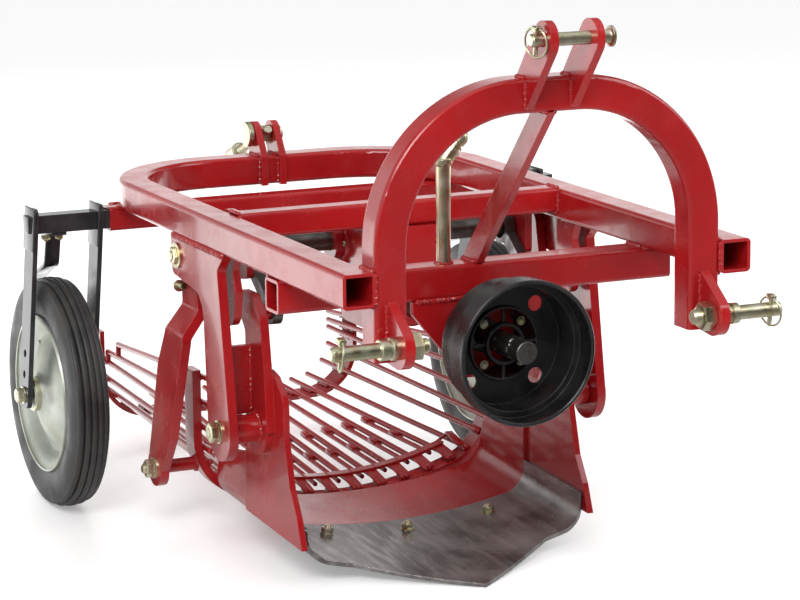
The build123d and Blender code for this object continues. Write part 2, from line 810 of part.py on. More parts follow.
write("rim_left", rim(left_wheel_x))
write("rim_right", mirrored(rim(right_wheel_x)))
write("wheel_fork_left", wheel_fork(left_lean, left_bar_end))
write("wheel_fork_right", mirrored(wheel_fork(right_lean, right_bar_end)))
write("scraper_left", scraper(left_wheel_x))
write("scraper_right", mirrored(scraper(right_wheel_x)))
write("rear_clevis", rear_clevis())
write("levelling_screw", levelling_screw())
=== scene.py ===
import json
from math import ceil, cos, pi, radians, sin, sqrt, tau
from types import SimpleNamespace

import bmesh
import bpy
from mathutils import Matrix, Vector
from mathutils.bvhtree import BVHTree


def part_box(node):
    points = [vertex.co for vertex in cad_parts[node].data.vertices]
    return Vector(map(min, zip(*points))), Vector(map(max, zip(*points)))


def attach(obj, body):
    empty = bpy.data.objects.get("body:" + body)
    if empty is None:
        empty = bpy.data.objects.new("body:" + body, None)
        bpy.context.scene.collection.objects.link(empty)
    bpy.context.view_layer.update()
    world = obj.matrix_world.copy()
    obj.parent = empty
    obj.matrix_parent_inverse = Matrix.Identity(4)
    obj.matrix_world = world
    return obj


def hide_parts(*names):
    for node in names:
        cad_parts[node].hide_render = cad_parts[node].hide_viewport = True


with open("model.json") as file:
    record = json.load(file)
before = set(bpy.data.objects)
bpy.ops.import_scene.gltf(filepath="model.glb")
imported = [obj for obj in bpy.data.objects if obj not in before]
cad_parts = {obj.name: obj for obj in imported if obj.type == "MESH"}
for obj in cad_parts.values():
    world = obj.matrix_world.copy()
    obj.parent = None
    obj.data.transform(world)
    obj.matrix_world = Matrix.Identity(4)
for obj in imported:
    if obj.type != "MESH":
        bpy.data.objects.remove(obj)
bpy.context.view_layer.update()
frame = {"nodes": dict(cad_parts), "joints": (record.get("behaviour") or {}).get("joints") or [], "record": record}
nodes = frame["nodes"]
scene = bpy.context.scene
print("frame loaded:", len(nodes), "nodes")

bothSides = (("left", -1), ("right", 1))
moveTo = Matrix.Translation


def span(node):
    low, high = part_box(node)
    return SimpleNamespace(left=low.x, right=high.x, front=low.y, rear=high.y, low=low.z, high=high.z)


def awayFromMiddle(box):
    # how far a node's inner and outer faces stand from the digger's middle plane
    return sorted((abs(box.left), abs(box.right)))


def midOf(node):
    low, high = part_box(node)
    return (low + high) / 2


def hinge(name):
    return Vector(next(joint["pos_m"] for joint in frame["joints"] if joint["name"] == name))


def aimAt(place, axis, roll=0):
    # the local Z runs along axis
    turn = Vector(axis).to_track_quat("Z", "Y").to_matrix().to_4x4()
    return moveTo(place) @ turn @ Matrix.Rotation(roll, 4, "Z")


def addPart(bm, part, matrix):
    # puts a small bmesh into a bigger one and frees it
    bmesh.ops.transform(part, matrix=matrix, verts=part.verts)
    holder = bpy.data.meshes.new("holder")
    part.to_mesh(holder)
    part.free()
    bm.from_mesh(holder)
    bpy.data.meshes.remove(holder)


def addObject(name, data):
    made = bpy.data.objects.new(name, data)
    scene.collection.objects.link(made)
    return made


def edgesOf(verts):
    return list({e for v in verts for e in v.link_edges})


def extrudeRing(part, edges):
    made = bmesh.ops.extrude_edge_only(part, edges=edges)["geom"]
    verts = [g for g in made if isinstance(g, bmesh.types.BMVert)]
    return verts, [g for g in made if isinstance(g, bmesh.types.BMEdge)]


def bevelEdges(part, edges, width, segments):
    bmesh.ops.bevel(part, geom=edges, offset=width, segments=segments, profile=0.5, affect="EDGES", material=-1)


def spinRound(part, geom, steps):
    middle = {"cent": (0, 0, 0), "axis": (0, 0, 1), "angle": tau}
    bmesh.ops.spin(part, geom=geom, steps=steps, use_merge=True, **middle)


def softenEdges(part, width, segments, minAngle=30):
    edges = [e for e in part.edges if len(e.link_faces) == 2 and e.calc_face_angle() > radians(minAngle)]
    bevelEdges(part, edges, width, segments)


def inMetres(chain):
    return [(along / 1000, radius / 1000) for along, radius in chain]


def turnedPart(profile, steps):
    # profile is a chain of (distance along the axis, radius), spun round Z
    part = bmesh.new()
    chain = [part.verts.new((radius, 0, along)) for along, radius in profile]
    edges = [part.edges.new(pair) for pair in zip(chain, chain[1:])]
    spinRound(part, chain + edges, steps)
    bmesh.ops.remove_doubles(part, verts=part.verts, dist=0.00001)
    return part


def hexPart(across, height, hole=0):
    # a chamfered hexagon standing on the origin
    part = bmesh.new()
    corner = across / sqrt(3)
    shift = moveTo((0, 0, height / 2))
    prism = {"segments": 6, "radius1": corner, "radius2": corner, "depth": height}
    bmesh.ops.create_cone(part, cap_ends=True, matrix=shift, **prism)
    caps = [f for f in part.faces if abs(f.normal.z) > 0.9]
    bevelEdges(part, list({e for f in caps for e in f.edges}), across * 0.07, 2)
    if hole:
        caps = [f for f in part.faces if abs(f.normal.z) > 0.99]
        bmesh.ops.inset_region(part, faces=caps, thickness=corner - hole - across * 0.07)
        caps = [f for f in part.faces if abs(f.normal.z) > 0.99 and f.calc_center_median().xy.length < 0.0001]
        for cap in caps:
            bmesh.ops.inset_region(part, faces=[cap], thickness=across * 0.01, depth=-across * 0.03)
    return part


def addBlock(bm, size, bevel, segments, matrix):
    part = bmesh.new()
    bmesh.ops.create_cube(part, size=1)
    bmesh.ops.scale(part, vec=size, verts=part.verts)
    softenEdges(part, bevel, segments)
    addPart(bm, part, matrix)


def ringPart(radius, wire):
    part = bmesh.new()
    place = moveTo((radius, 0, 0)) @ Matrix.Rotation(pi / 2, 4, "X")
    made = bmesh.ops.create_circle(part, segments=10, radius=wire, matrix=place)["verts"]
    spinRound(part, made + edgesOf(made), 40)
    return part


def addTurned(bm, profile, steps, place, axis):
    addPart(bm, turnedPart(profile, steps), aimAt(place, axis))


def addHex(bm, sizes, place, axis, roll=0):
    addPart(bm, hexPart(*sizes), aimAt(place, axis, roll))


def threadProfile(start, end, radius, pitch):
    # a saw-tooth line that reads as a thread once it is spun
    turns = max(2, int(abs(end - start) / pitch))
    step = (end - start) / turns
    chain = []
    for i in range(turns):
        chain += [(start + i * step, radius * 0.9), (start + (i + 0.5) * step, radius)]
    return chain + [(end, radius * 0.88)]


def drawnPart(sections, sides=8, radius=1.0, root=1):
    # a ring drawn along Z through (distance, size, side shift) sections, closed at both
    # ends; a root under 1 sinks three of every eight corners, for splines
    part = bmesh.new()
    along, size, shift = sections[0]
    place = moveTo((shift, 0, along)) @ Matrix.Scale(size, 4)
    ring = bmesh.ops.create_circle(part, segments=sides, radius=radius, matrix=place)["verts"]
    if root < 1:
        sunk = [vert for i, vert in enumerate(ring) if i % 8 in (0, 1, 7)]
        bmesh.ops.scale(part, vec=(root, root, 1), verts=sunk)
    edges = edgesOf(ring)
    for nextAlong, nextSize, nextShift in sections[1:]:
        ring, edges = extrudeRing(part, edges)
        centre = moveTo((-shift, 0, -along))
        grow = nextSize / size
        bmesh.ops.scale(part, vec=(grow, grow, 1), space=centre, verts=ring)
        bmesh.ops.translate(part, vec=(nextShift - shift, 0, nextAlong - along), verts=ring)
        along, size, shift = nextAlong, nextSize, nextShift
    bmesh.ops.holes_fill(part, edges=part.edges, sides=0)
    return part


weld = {"size": 0.0036, "ripple": 0.0042, "dip": 0.8, "wander": 0.12}


def weldBead(bm, start, end, size=weld["size"]):
    # overlapping scales of weld metal from start to end
    start, end = Vector(start), Vector(end)
    run = (end - start).length
    count = max(4, 2 * round(run / weld["ripple"]))
    sections = [(0, size * 0.45, 0)]
    for i in range(1, count):
        swell = 1.0 if i % 2 else weld["dip"]
        swell *= 1 + 0.1 * sin(i * 1.7 + start.x * 90)
        sections.append((run * i / count, size * swell, size * weld["wander"] * sin(i * 0.83 + start.y * 70)))
    sections.append((run, size * 0.45, 0))
    addPart(bm, drawnPart(sections), aimAt(start, end - start))


def beadUp(bm, x, y, box, gap):
    weldBead(bm, (x, y, box.low + gap), (x, y, box.high - gap))


def beadBack(bm, x, z, box, gap, size=weld["size"]):
    weldBead(bm, (x, box.front + gap, z), (x, box.rear - gap, z), size)


def flanks(box, gap=0.0005):
    return box.left - gap, box.right + gap


def weldRing(bm, place, axis, radius, size=0.003):
    # a round bead laid as short chords
    turned = aimAt(place, axis)
    chords = max(10, ceil(radius * 700))
    for i in range(chords):
        turns = (tau * i / chords, tau * (i + 1) / chords)
        ends = [turned @ Vector((radius * cos(turn), radius * sin(turn), 0)) for turn in turns]
        weldBead(bm, *ends, size)


def meshOf(node):
    bm = bmesh.new()
    bm.from_mesh(nodes[node].data)
    bmesh.ops.remove_doubles(bm, verts=bm.verts, dist=0.00002)
    return bm


def rodsOf(node):
    # the two end points of each bar in a node, front end first
    bm = meshOf(node)
    left = set(bm.verts)
    rods = []
    while left:
        island = [left.pop()]
        for vert in island:
            for edge in vert.link_edges:
                other = edge.other_vert(vert)
                if other in left:
                    left.remove(other)
                    island.append(other)
        ends = []
        for pick in (min, max):
            edgeY = pick(v.co.y for v in island)
            tip = [v.co for v in island if abs(v.co.y - edgeY) < 0.003]
            ends.append(sum(tip, Vector()) / len(tip))
        rods.append(ends)
    bm.free()
    return sorted(rods, key=lambda ends: ends[0].x)


def alongLine(ends, y):
    part = (y - ends[0].y) / (ends[1].y - ends[0].y)
    return ends[0].lerp(ends[1], part)


def feed(node, inputs):
    # a socket is linked, any other value is set
    for socket, value in inputs.items():
        if isinstance(value, bpy.types.NodeSocket):
            node.id_data.links.new(value, node.inputs[socket])
        else:
            node.inputs[socket].default_value = value


def addNode(tree, kind, inputs, **settings):
    node = tree.nodes.new(kind)
    for name, value in settings.items():
        setattr(node, name, value)
    feed(node, inputs)
    return node


def useGroup(tree, group, **values):
    return addNode(tree, "ShaderNodeGroup", values, node_tree=group).outputs


def cloudsAt(tree, place, look):
    return useGroup(tree, blotches, Place=place, **look)


def mapTo(tree, value, low, high, fromLow=0.0, fromHigh=1.0):
    inputs = {"Value": value, "From Min": fromLow, "From Max": fromHigh, "To Min": low, "To Max": high}
    return addNode(tree, "ShaderNodeMapRange", inputs).outputs["Result"]


def mathOf(tree, operation, first, second):
    return addNode(tree, "ShaderNodeMath", {0: first, 1: second}, operation=operation).outputs[0]


def noiseFrom(tree, place, scale, detail):
    inputs = {"Vector": place, "Scale": scale, "Detail": detail}
    return addNode(tree, "ShaderNodeTexNoise", inputs).outputs["Fac"]


def blendColour(tree, mask, first, second):
    inputs = {"Factor": mask, 6: first, 7: second}
    return addNode(tree, "ShaderNodeMix", inputs, data_type="RGBA").outputs[2]


def blendNumber(tree, mask, first, second):
    inputs = {"Factor": mask, 2: first, 3: second}
    return addNode(tree, "ShaderNodeMix", inputs, data_type="FLOAT").outputs[0]


def bumpFrom(tree, height, strength, distance, normal=None):
    inputs = {"Height": height, "Strength": strength, "Distance": distance}
    if normal:
        inputs["Normal"] = normal
    return addNode(tree, "ShaderNodeBump", inputs).outputs["Normal"]


def newGroup(name, inputs, outputs):
    # a number, a colour, or None for a vector, says what kind each socket is
    group = bpy.data.node_groups.new(name, "ShaderNodeTree")
    for way, sockets in (("INPUT", inputs), ("OUTPUT", outputs)):
        for label, value in sockets.items():
            kind = "Vector" if value is None else "Color" if isinstance(value, tuple) else "Float"
            socket = group.interface.new_socket(label, in_out=way, socket_type="NodeSocket" + kind)
            if value is not None:
                socket.default_value = value
    return group, group.nodes.new("NodeGroupInput").outputs, group.nodes.new("NodeGroupOutput")


def makeBlotches():
    # soft patches of a second colour, with their mask
    inputs = {"Place": None, "Scale": 6.0, "Detail": 4.0, "Low": 0.35, "High": 0.65}
    inputs |= {"Main": (0.5, 0.5, 0.5, 1), "Other": (0.6, 0.6, 0.6, 1)}
    group, given, out = newGroup("blotches", inputs, {"Colour": (0, 0, 0, 1), "Mask": 0.0})
    cloud = noiseFrom(group, given["Place"], given["Scale"], given["Detail"])
    spread = {"Value": cloud, "From Min": given["Low"], "From Max": given["High"]}
    mask = addNode(group, "ShaderNodeMapRange", spread, interpolation_type="SMOOTHSTEP").outputs["Result"]
    feed(out, {"Colour": blendColour(group, mask, given["Main"], given["Other"]), "Mask": mask})
    return group


def makeGrain():
    # height of a fine grain over long, shallow waves
    inputs = {"Place": None, "Fine": 400.0, "Coarse": 40.0, "Waves": 0.5}
    group, given, out = newGroup("grain", inputs, {"Height": 0.0})
    fine = noiseFrom(group, given["Place"], given["Fine"], 3.0)
    coarse = noiseFrom(group, given["Place"], given["Coarse"], 2.0)
    feed(out, {"Height": blendNumber(group, given["Waves"], fine, coarse)})
    return group


def makeEdges():
    # rounded normals at sharp edges, and a mask of where they are
    group, given, out = newGroup("edges", {"Width": 0.0015}, {"Normal": None, "Mask": 0.0})
    rounded = addNode(group, "ShaderNodeBevel", {"Radius": given["Width"]}, samples=4).outputs["Normal"]
    flat = addNode(group, "ShaderNodeNewGeometry", {}).outputs["True Normal"]
    dot = addNode(group, "ShaderNodeVectorMath", {0: rounded, 1: flat}, operation="DOT_PRODUCT")
    feed(out, {"Normal": rounded, "Mask": mapTo(group, dot.outputs["Value"], 0.0, 1.0, 0.995, 0.9)})
    return group


blotches, grain, edges = makeBlotches(), makeGrain(), makeEdges()


def startFinish(name):
    material = bpy.data.materials.new(name)
    material.use_nodes = True
    tree = material.node_tree
    shader = tree.nodes["Principled BSDF"]
    place = tree.nodes.new("ShaderNodeTexCoord").outputs["Object"]
    return material, tree, shader, place


def makeFinish(name, look):
    # blotched colour under thin tinted layers, worn edges, and a fine skin
    material, tree, shader, place = startFinish(name)
    patch = cloudsAt(tree, place, look["patch"])
    colour, mask, normal = patch["Colour"], patch["Mask"], None
    for layer, amount, tint in look.get("layers", ()):
        cloud = cloudsAt(tree, place, layer)
        colour = blendColour(tree, mapTo(tree, cloud["Mask"], 0.0, amount), colour, tint)
    if "edge" in look:
        width, amount, tint = look["edge"]
        rim = useGroup(tree, edges, Width=width)
        normal = rim["Normal"]
        if tint:
            colour = blendColour(tree, mapTo(tree, rim["Mask"], 0.0, amount), colour, tint)
    if "haze" in look:
        mask = cloudsAt(tree, place, look["haze"])["Mask"]
    feed(shader, {"Base Color": colour, "Roughness": mapTo(tree, mask, *look["rough"])})
    feed(shader, {"Normal": skinOf(tree, place, look["skin"], normal), **look.get("set", {})})
    return material


def skinOf(tree, place, skin, normal):
    # skin is (fine scale, coarse scale, share of coarse, strength, distance)
    fine, coarse, waves, strength, distance = skin
    height = useGroup(tree, grain, Place=place, Fine=fine, Coarse=coarse, Waves=waves)["Height"]
    return bumpFrom(tree, height, strength, distance, normal)


def twoTone(scale, main, other, **more):
    return {"Scale": scale, "Main": (*main, 1), "Other": (*other, 1), **more}


def clouds(scale, detail, low, high):
    return {"Scale": scale, "Detail": detail, "Low": low, "High": high}


# an edge is (width, how much it shows, tint); a layer is (clouds, how much it shows, tint)
paintLook = {
    "patch": twoTone(5.0, (0.385, 0.009, 0.011), (0.3, 0.006, 0.008), Detail=3.0),
    "edge": (0.0022, 0.45, (0.52, 0.03, 0.036, 1)),
    "haze": clouds(26.0, 6.0, 0.3, 0.75),
    "rough": (0.17, 0.31),
    "skin": (330.0, 70.0, 0.55, 0.11, 0.0012),
    "set": {"Coat Weight": 0.4, "Coat Roughness": 0.06},
}
powderLook = {
    "patch": twoTone(30.0, (0.02, 0.02, 0.022), (0.032, 0.032, 0.035)),
    "edge": (0.0018, 0.6, (0.085, 0.085, 0.09, 1)),
    "rough": (0.15, 0.24),
    "skin": (900.0, 220.0, 0.4, 0.16, 0.0006),
}
# yellow passivated zinc: straw, with green and rose clouds
zincLook = {
    "patch": twoTone(38.0, (0.6, 0.53, 0.34), (0.72, 0.69, 0.55)),
    "layers": (
        (clouds(62.0, 2.0, 0.5, 0.68), 0.5, (0.42, 0.52, 0.26, 1)),
        (clouds(85.0, 2.0, 0.54, 0.7), 0.22, (0.6, 0.42, 0.32, 1)),
    ),
    "edge": (0.0006, 0, None),
    "rough": (0.27, 0.4),
    "skin": (700.0, 160.0, 0.3, 0.14, 0.0005),
    "set": {"Metallic": 1.0},
}
shaftLook = {
    "patch": twoTone(48.0, (0.16, 0.155, 0.15), (0.09, 0.08, 0.072), Detail=5.0),
    "edge": (0.0009, 0, None),
    "rough": (0.28, 0.5),
    "skin": (520.0, 140.0, 0.4, 0.2, 0.0006),
    "set": {"Metallic": 0.9},
}
plasticLook = {
    "patch": twoTone(22.0, (0.008, 0.008, 0.0085), (0.016, 0.015, 0.016), Detail=5.0),
    "edge": (0.002, 0.5, (0.06, 0.06, 0.063, 1)),
    "rough": (0.24, 0.4),
    "skin": (640.0, 90.0, 0.35, 0.12, 0.0007),
}
rubberLook = {
    "patch": twoTone(20.0, (0.018, 0.018, 0.019), (0.036, 0.034, 0.032), Detail=6.0),
    "layers": ((clouds(120.0, 4.0, 0.56, 0.78), 0.35, (0.085, 0.078, 0.07, 1)),),
    "rough": (0.42, 0.6),
    "skin": (480.0, 60.0, 0.45, 0.25, 0.0009),
}


def rimFinish(axle):
    # pressed steel with faint turning marks round the axle
    material, tree, shader, place = startFinish("rimZinc")
    onAxle = {"Vector": place, "Location": (0, -axle.y, -axle.z)}
    moved = addNode(tree, "ShaderNodeMapping", onAxle, vector_type="POINT")
    parts = addNode(tree, "ShaderNodeSeparateXYZ", {"Vector": moved.outputs["Vector"]}).outputs
    flat = addNode(tree, "ShaderNodeCombineXYZ", {"Y": parts["Y"], "Z": parts["Z"]})
    radius = addNode(tree, "ShaderNodeVectorMath", {0: flat.outputs["Vector"]}, operation="LENGTH")
    turning = {"W": radius.outputs["Value"], "Scale": 420.0, "Detail": 3.0}
    marks = addNode(tree, "ShaderNodeTexNoise", turning, noise_dimensions="1D")
    steel = twoTone(16.0, (0.52, 0.54, 0.49), (0.45, 0.47, 0.39), Detail=5.0)
    patch = cloudsAt(tree, place, steel)
    bump = bumpFrom(tree, marks.outputs["Fac"], 0.1, 0.0006)
    rough = mapTo(tree, patch["Mask"], 0.42, 0.56)
    feed(shader, {"Base Color": patch["Colour"], "Roughness": rough, "Metallic": 0.85, "Normal": bump})
    return material


def bladeFinish():
    # dark hardened sheet, with painted cloudy highlights and painted reflection streaks that run backwards
    material, tree, shader, place = startFinish("bladeSteel")
    stretch = {"Vector": place, "Scale": (1.0, 0.16, 1.0)}
    streakPlace = addNode(tree, "ShaderNodeMapping", stretch, vector_type="POINT").outputs["Vector"]
    # dark and light clouds in the steel's colour: the light ones are painted highlights
    steel = twoTone(9.0, (0.085, 0.079, 0.077), (0.33, 0.309, 0.303), Detail=7.0, Low=0.3, High=0.72)
    cloud = cloudsAt(tree, place, steel)
    # mask of painted reflection streaks, stretched backwards; the same stretch runs the fine bump grain
    sheenStreaks = cloudsAt(tree, streakPlace, clouds(75.0, 4.0, 0.42, 0.7))
    rim = useGroup(tree, edges, Width=0.002)
    # lays the painted reflection streaks into the colour
    withPaintedStreaks = blendColour(tree, mapTo(tree, sheenStreaks["Mask"], 0.0, 0.6), cloud["Colour"], (0.42, 0.40, 0.392, 1))
    worn = blendColour(tree, mapTo(tree, rim["Mask"], 0.0, 0.3), withPaintedStreaks, (0.4, 0.385, 0.385, 1))
    bump = skinOf(tree, streakPlace, (260.0, 36.0, 0.6, 0.2, 0.0015), rim["Normal"])
    rough = mapTo(tree, cloud["Mask"], 0.2, 0.36)
    feed(shader, {"Base Color": worn, "Roughness": rough, "Metallic": 0.75, "Normal": bump})
    return material


finishes = {
    "frame_paint": makeFinish("framePaint", paintLook),
    "black_coat": makeFinish("blackPowder", powderLook),
    "zinc": makeFinish("yellowZinc", zincLook),
    "rim_zinc": rimFinish(hinge("wheel_spin_left")),
    "shaft_steel": makeFinish("bareShaft", shaftLook),
    "blade_steel": bladeFinish(),
    "guard_plastic": makeFinish("guardPlastic", plasticLook),
    "tyre_rubber": makeFinish("tyreRubber", rubberLook),
}
print("finishes made:", len(finishes))

# every CAD node takes the finish of its slot in the record
for subpart in frame["record"]["subparts"]:
    data = nodes[subpart["node"]].data
    data.materials.clear()
    data.materials.append(finishes[subpart["material_slot"]])


def makePiece(name, bm, slot, body, sharpAt=34):
    # a finished mesh gets the finish of its slot, and its body
    bmesh.ops.remove_doubles(bm, verts=bm.verts, dist=0.00001)
    bmesh.ops.recalc_face_normals(bm, faces=bm.faces)
    mesh = bpy.data.meshes.new(name)
    bm.to_mesh(mesh)
    bm.free()
    mesh.materials.append(finishes[slot])
    mesh.shade_smooth()
    mesh.set_sharp_from_angle(angle=radians(sharpAt))
    piece = addObject(name, mesh)
    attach(piece, body)
    return piece


wheel = {"half": 0.033, "crown": 0.192, "bead": 0.127, "ribs": 5, "groove": 0.0035,
         "hub": 0.0475, "sheet": 0.0035, "rivets": 4, "rivetCircle": 0.099}


def mirrored(chain):
    return [(-along, radius) for along, radius in chain]


def tyreProfile():
    # (distance outwards along the axle, radius), ribs between grooves
    half, crown, bead = wheel["half"], wheel["crown"], wheel["bead"]
    tread = half * 0.8
    side = [(half - 0.009, bead), (half - 0.004, bead + 0.004), (half - 0.003, bead + 0.009)]
    side += [(half, bead + 0.024), (half, bead + 0.036), (half - 0.0035, crown - 0.016)]
    side += [(half - 0.0055, crown - 0.0125), (tread, crown - 0.0085)]
    chain = list(side)
    pitch = 2 * tread / wheel["ribs"]
    for i in range(wheel["ribs"]):
        outer = tread - i * pitch
        inner = outer - pitch
        middle = (outer + inner) / 2
        rise = 0.0085 * (middle / tread) ** 2
        lip = pitch * 0.13
        chain += [(outer - lip * 0.6, crown - rise - 0.0012), (outer - lip * 1.6, crown - rise)]
        chain += [(inner + lip * 1.6, crown - rise), (inner + lip * 0.6, crown - rise - 0.0012)]
        if i < wheel["ribs"] - 1:
            floorAt = crown - rise - wheel["groove"]
            chain += [(inner + lip * 0.35, floorAt), (inner - lip * 0.35, floorAt)]
    return chain + mirrored(side[::-1]) + [side[0]]


def rimProfile():
    half, bead = wheel["half"], wheel["bead"]
    outer = [(half - 0.001, bead + 0.001), (half - 0.0005, bead + 0.004), (half - 0.004, bead + 0.005)]
    outer += [(half - 0.0085, bead - 0.003), (half - 0.012, bead - 0.011), (0.0, bead - 0.016)]
    disc = [(0.013, bead - 0.0195)]
    disc += inMetres([(7, 100), (8, 94), (15, 83), (22, 68), (26.5, 52), (29, 38), (33, 31), (40, 26.5)])
    disc.append((wheel["hub"] - 0.001, 0.0245))
    hub = [(wheel["hub"], 0.0083), (wheel["hub"], 0.0235)]
    inner = [(along, radius - wheel["sheet"]) for along, radius in outer[1:-1]]
    well = outer + mirrored(outer[-2::-1]) + mirrored(inner)
    return well + mirrored(disc) + mirrored(hub[::-1]) + hub + disc[::-1] + inner[::-1] + [outer[0]]


def addRivets(bm, place, axis):
    # they hold the two halves of the rim together
    rivet = inMetres([(0, 4.5), (2.2, 4.2), (3.6, 2.6), (4, 0)])
    for i in range(wheel["rivets"]):
        turn = tau * (i + 0.5) / wheel["rivets"]
        spoke = Vector((0, cos(turn), sin(turn))) * wheel["rivetCircle"] + axis * 0.0068
        addTurned(bm, rivet, 16, place + spoke, axis)


for side, outward in bothSides:
    body, axle = f"wheel_{side}", hinge(f"wheel_spin_{side}")
    axis = Vector((outward, 0, 0))
    bm = bmesh.new()
    addTurned(bm, tyreProfile(), 96, axle, axis)
    tyre = makePiece(f"ribbedTyre_{side}", bm, "tyre_rubber", body, 50)
    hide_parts(f"tyre_{side}")
    bm = bmesh.new()
    addTurned(bm, rimProfile(), 72, axle, axis)
    addRivets(bm, axle, axis)
    rim = makePiece(f"pressedRim_{side}", bm, "rim_zinc", body, 40)
    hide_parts(f"rim_{side}")
print("wheels made")


def boltEnd(bm, place, axis, bolt, grip=0.0):
    # washer, nut and threaded end standing on a face; grip sinks the thread behind it
    size, end = bolt["size"], bolt["size"] * bolt["tail"]
    washer = [(0, size * 0.52), (0, size * 1.05), (size * 0.16, size * 1.05), (size * 0.16, size * 0.52)]
    addTurned(bm, washer + [washer[0]], 36, place, axis)
    seat = Vector(place) + Vector(axis).normalized() * size * 0.16
    addHex(bm, (size * 1.6, size * 0.8, size * 0.5), seat, axis, bolt["turn"])
    thread = [(-grip, size * 0.5)] + threadProfile(0, end, size * 0.5, size * 0.13)
    thread += [(end + size * 0.08, size * 0.36), (end + size * 0.08, 0)]
    addTurned(bm, thread, 24, place, axis)


def makeLinchPin(name, place, axis, pin, tilt=0.25):
    # a peg through a pin's end, with a cam head and the spring ring that snaps over it
    down = Vector((0, 0.12, -1)).normalized()
    reach, bm = pin["peg"], bmesh.new()
    peg = [(-reach, 0), (-reach, 0.0034), (reach * 1.12, 0.0036), (reach * 1.25, 0.0016), (reach * 1.25, 0)]
    addTurned(bm, peg, 20, place, down)
    addBlock(bm, (0.011, 0.0145, 0.0085), 0.0022, 3, aimAt(Vector(place) - down * (reach - 0.002), down))
    ringAxis = Vector(axis) + Vector((0, tilt, 0.1))
    addPart(bm, ringPart(pin["ring"], 0.0016), aimAt(Vector(place) + down * 0.003, ringAxis))
    makePiece(name, bm, "zinc", "frame")


lowerPin = {"radius": 0.011, "collar": 0.0165, "across": 0.0374, "nut": 0.0195, "peg": 0.021, "ring": 0.0215}
# (distance from the plate, how far under the collar's radius) along the collar and its groove
collarSteps = inMetres([(0, 0), (10, 0), (11.5, 1.5), (12.5, 4), (15.5, 4), (16.5, 1), (26.5, 1), (28, 2.5)])

for side, outward in bothSides:
    node = f"hitch_pin_{side}"
    centre = midOf(node)
    axis = Vector((outward, 0, 0))
    tail, tip = awayFromMiddle(span(node))
    innerFace, outerFace = awayFromMiddle(span(f"hitch_plate_{side}"))
    radius = lowerPin["radius"]
    profile = [(tail, 0), (tail, radius * 0.8)]
    profile += threadProfile(tail + 0.0015, innerFace - 0.001, radius, 0.0025)
    profile.append((outerFace, radius))
    profile += [(outerFace + along, lowerPin["collar"] - under) for along, under in collarSteps]
    profile += [(outerFace + 0.028, radius), (tip - 0.003, radius), (tip, radius - 0.003), (tip, 0)]
    bm = bmesh.new()
    addTurned(bm, profile, 40, (0, centre.y, centre.z), axis)
    nutPlace = Vector((outward * innerFace, centre.y, centre.z))
    addHex(bm, (lowerPin["across"], lowerPin["nut"], radius), nutPlace, -axis, 0.3)
    pin = makePiece(f"lowerPin_{side}", bm, "zinc", "frame")
    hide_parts(node)
    makeLinchPin(f"lowerLinchPin_{side}", (outward * (tip - 0.016), centre.y, centre.z), axis, lowerPin)

topPin = {"radius": 0.0095, "peg": 0.018, "ring": 0.021}


def makeTopPin():
    box, centre, radius = span("top_link_pin"), midOf("top_link_pin"), topPin["radius"]
    left, right = box.left, box.right
    profile = [(left, 0), (left, radius - 0.0025), (left + 0.0025, radius), (right - 0.010, radius)]
    profile += [(right - 0.007, 0.011), (right - 0.0055, 0.0148), (right - 0.002, 0.0152)]
    profile += [(right, 0.0132), (right, 0)]
    bm = bmesh.new()
    addTurned(bm, profile, 40, (0, centre.y, centre.z), (1, 0, 0))
    pin = makePiece("topPinShank", bm, "zinc", "frame")
    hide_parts("top_link_pin")
    makeLinchPin("topLinchPin", (left + 0.009, centre.y, centre.z), (1, 0, 0), topPin, 0.35)


makeTopPin()

pivotBolt = {"size": 0.0175, "tail": 0.95, "turn": 0.2}
footBolt = {"size": 0.0165, "tail": 1.2, "turn": 0.1}
stopBolt = {"size": 0.009, "tail": 1.2, "turn": 0.0}

for side, outward in bothSides:
    axis = Vector((outward, 0, 0))
    face, arm = span(f"hanger_{side}"), span(f"rocker_arm_{side}")
    outerX = outward * awayFromMiddle(face)[1]
    armX = outward * (awayFromMiddle(arm)[1] - 0.012)
    share, rocker = hinge("share_shake"), hinge("sieve_shake")
    bm = bmesh.new()
    boltEnd(bm, (outerX, share.y, share.z), axis, pivotBolt)
    makePiece(f"shareBolt_{side}", bm, "zinc", "share")
    bm = bmesh.new()
    cap = inMetres([(0, 0), (0, 20.5), (3.2, 20.5), (3.6, 18), (3.6, 0)])
    addTurned(bm, cap, 44, (outerX, rocker.y, rocker.z), axis)
    addHex(bm, (0.0255, 0.006), (outerX + outward * 0.0034, rocker.y, rocker.z), axis, 0.5)
    shank = inMetres([(0, 8), (10.8, 7.8), (11.8, 6.8), (11.8, 0)])
    addTurned(bm, shank, 32, (outerX, rocker.y, rocker.z), axis)
    boltEnd(bm, (armX, arm.rear - 0.030, arm.low + 0.030), axis, footBolt)
    makePiece(f"rockerBolts_{side}", bm, "zinc", "sieve")
    bm = bmesh.new()
    stopPlace = Vector((outward * (abs(outerX) - 0.008), face.rear - 0.012, rocker.z - 0.052))
    boltEnd(bm, stopPlace, (0, 1, -0.12), stopBolt, 0.02)
    makePiece(f"stopBolt_{side}", bm, "zinc", "frame")

prop = {"rod": 0.011, "seat": 0.150, "lean": 0.69, "longer": 1.07, "thicker": 1.04}


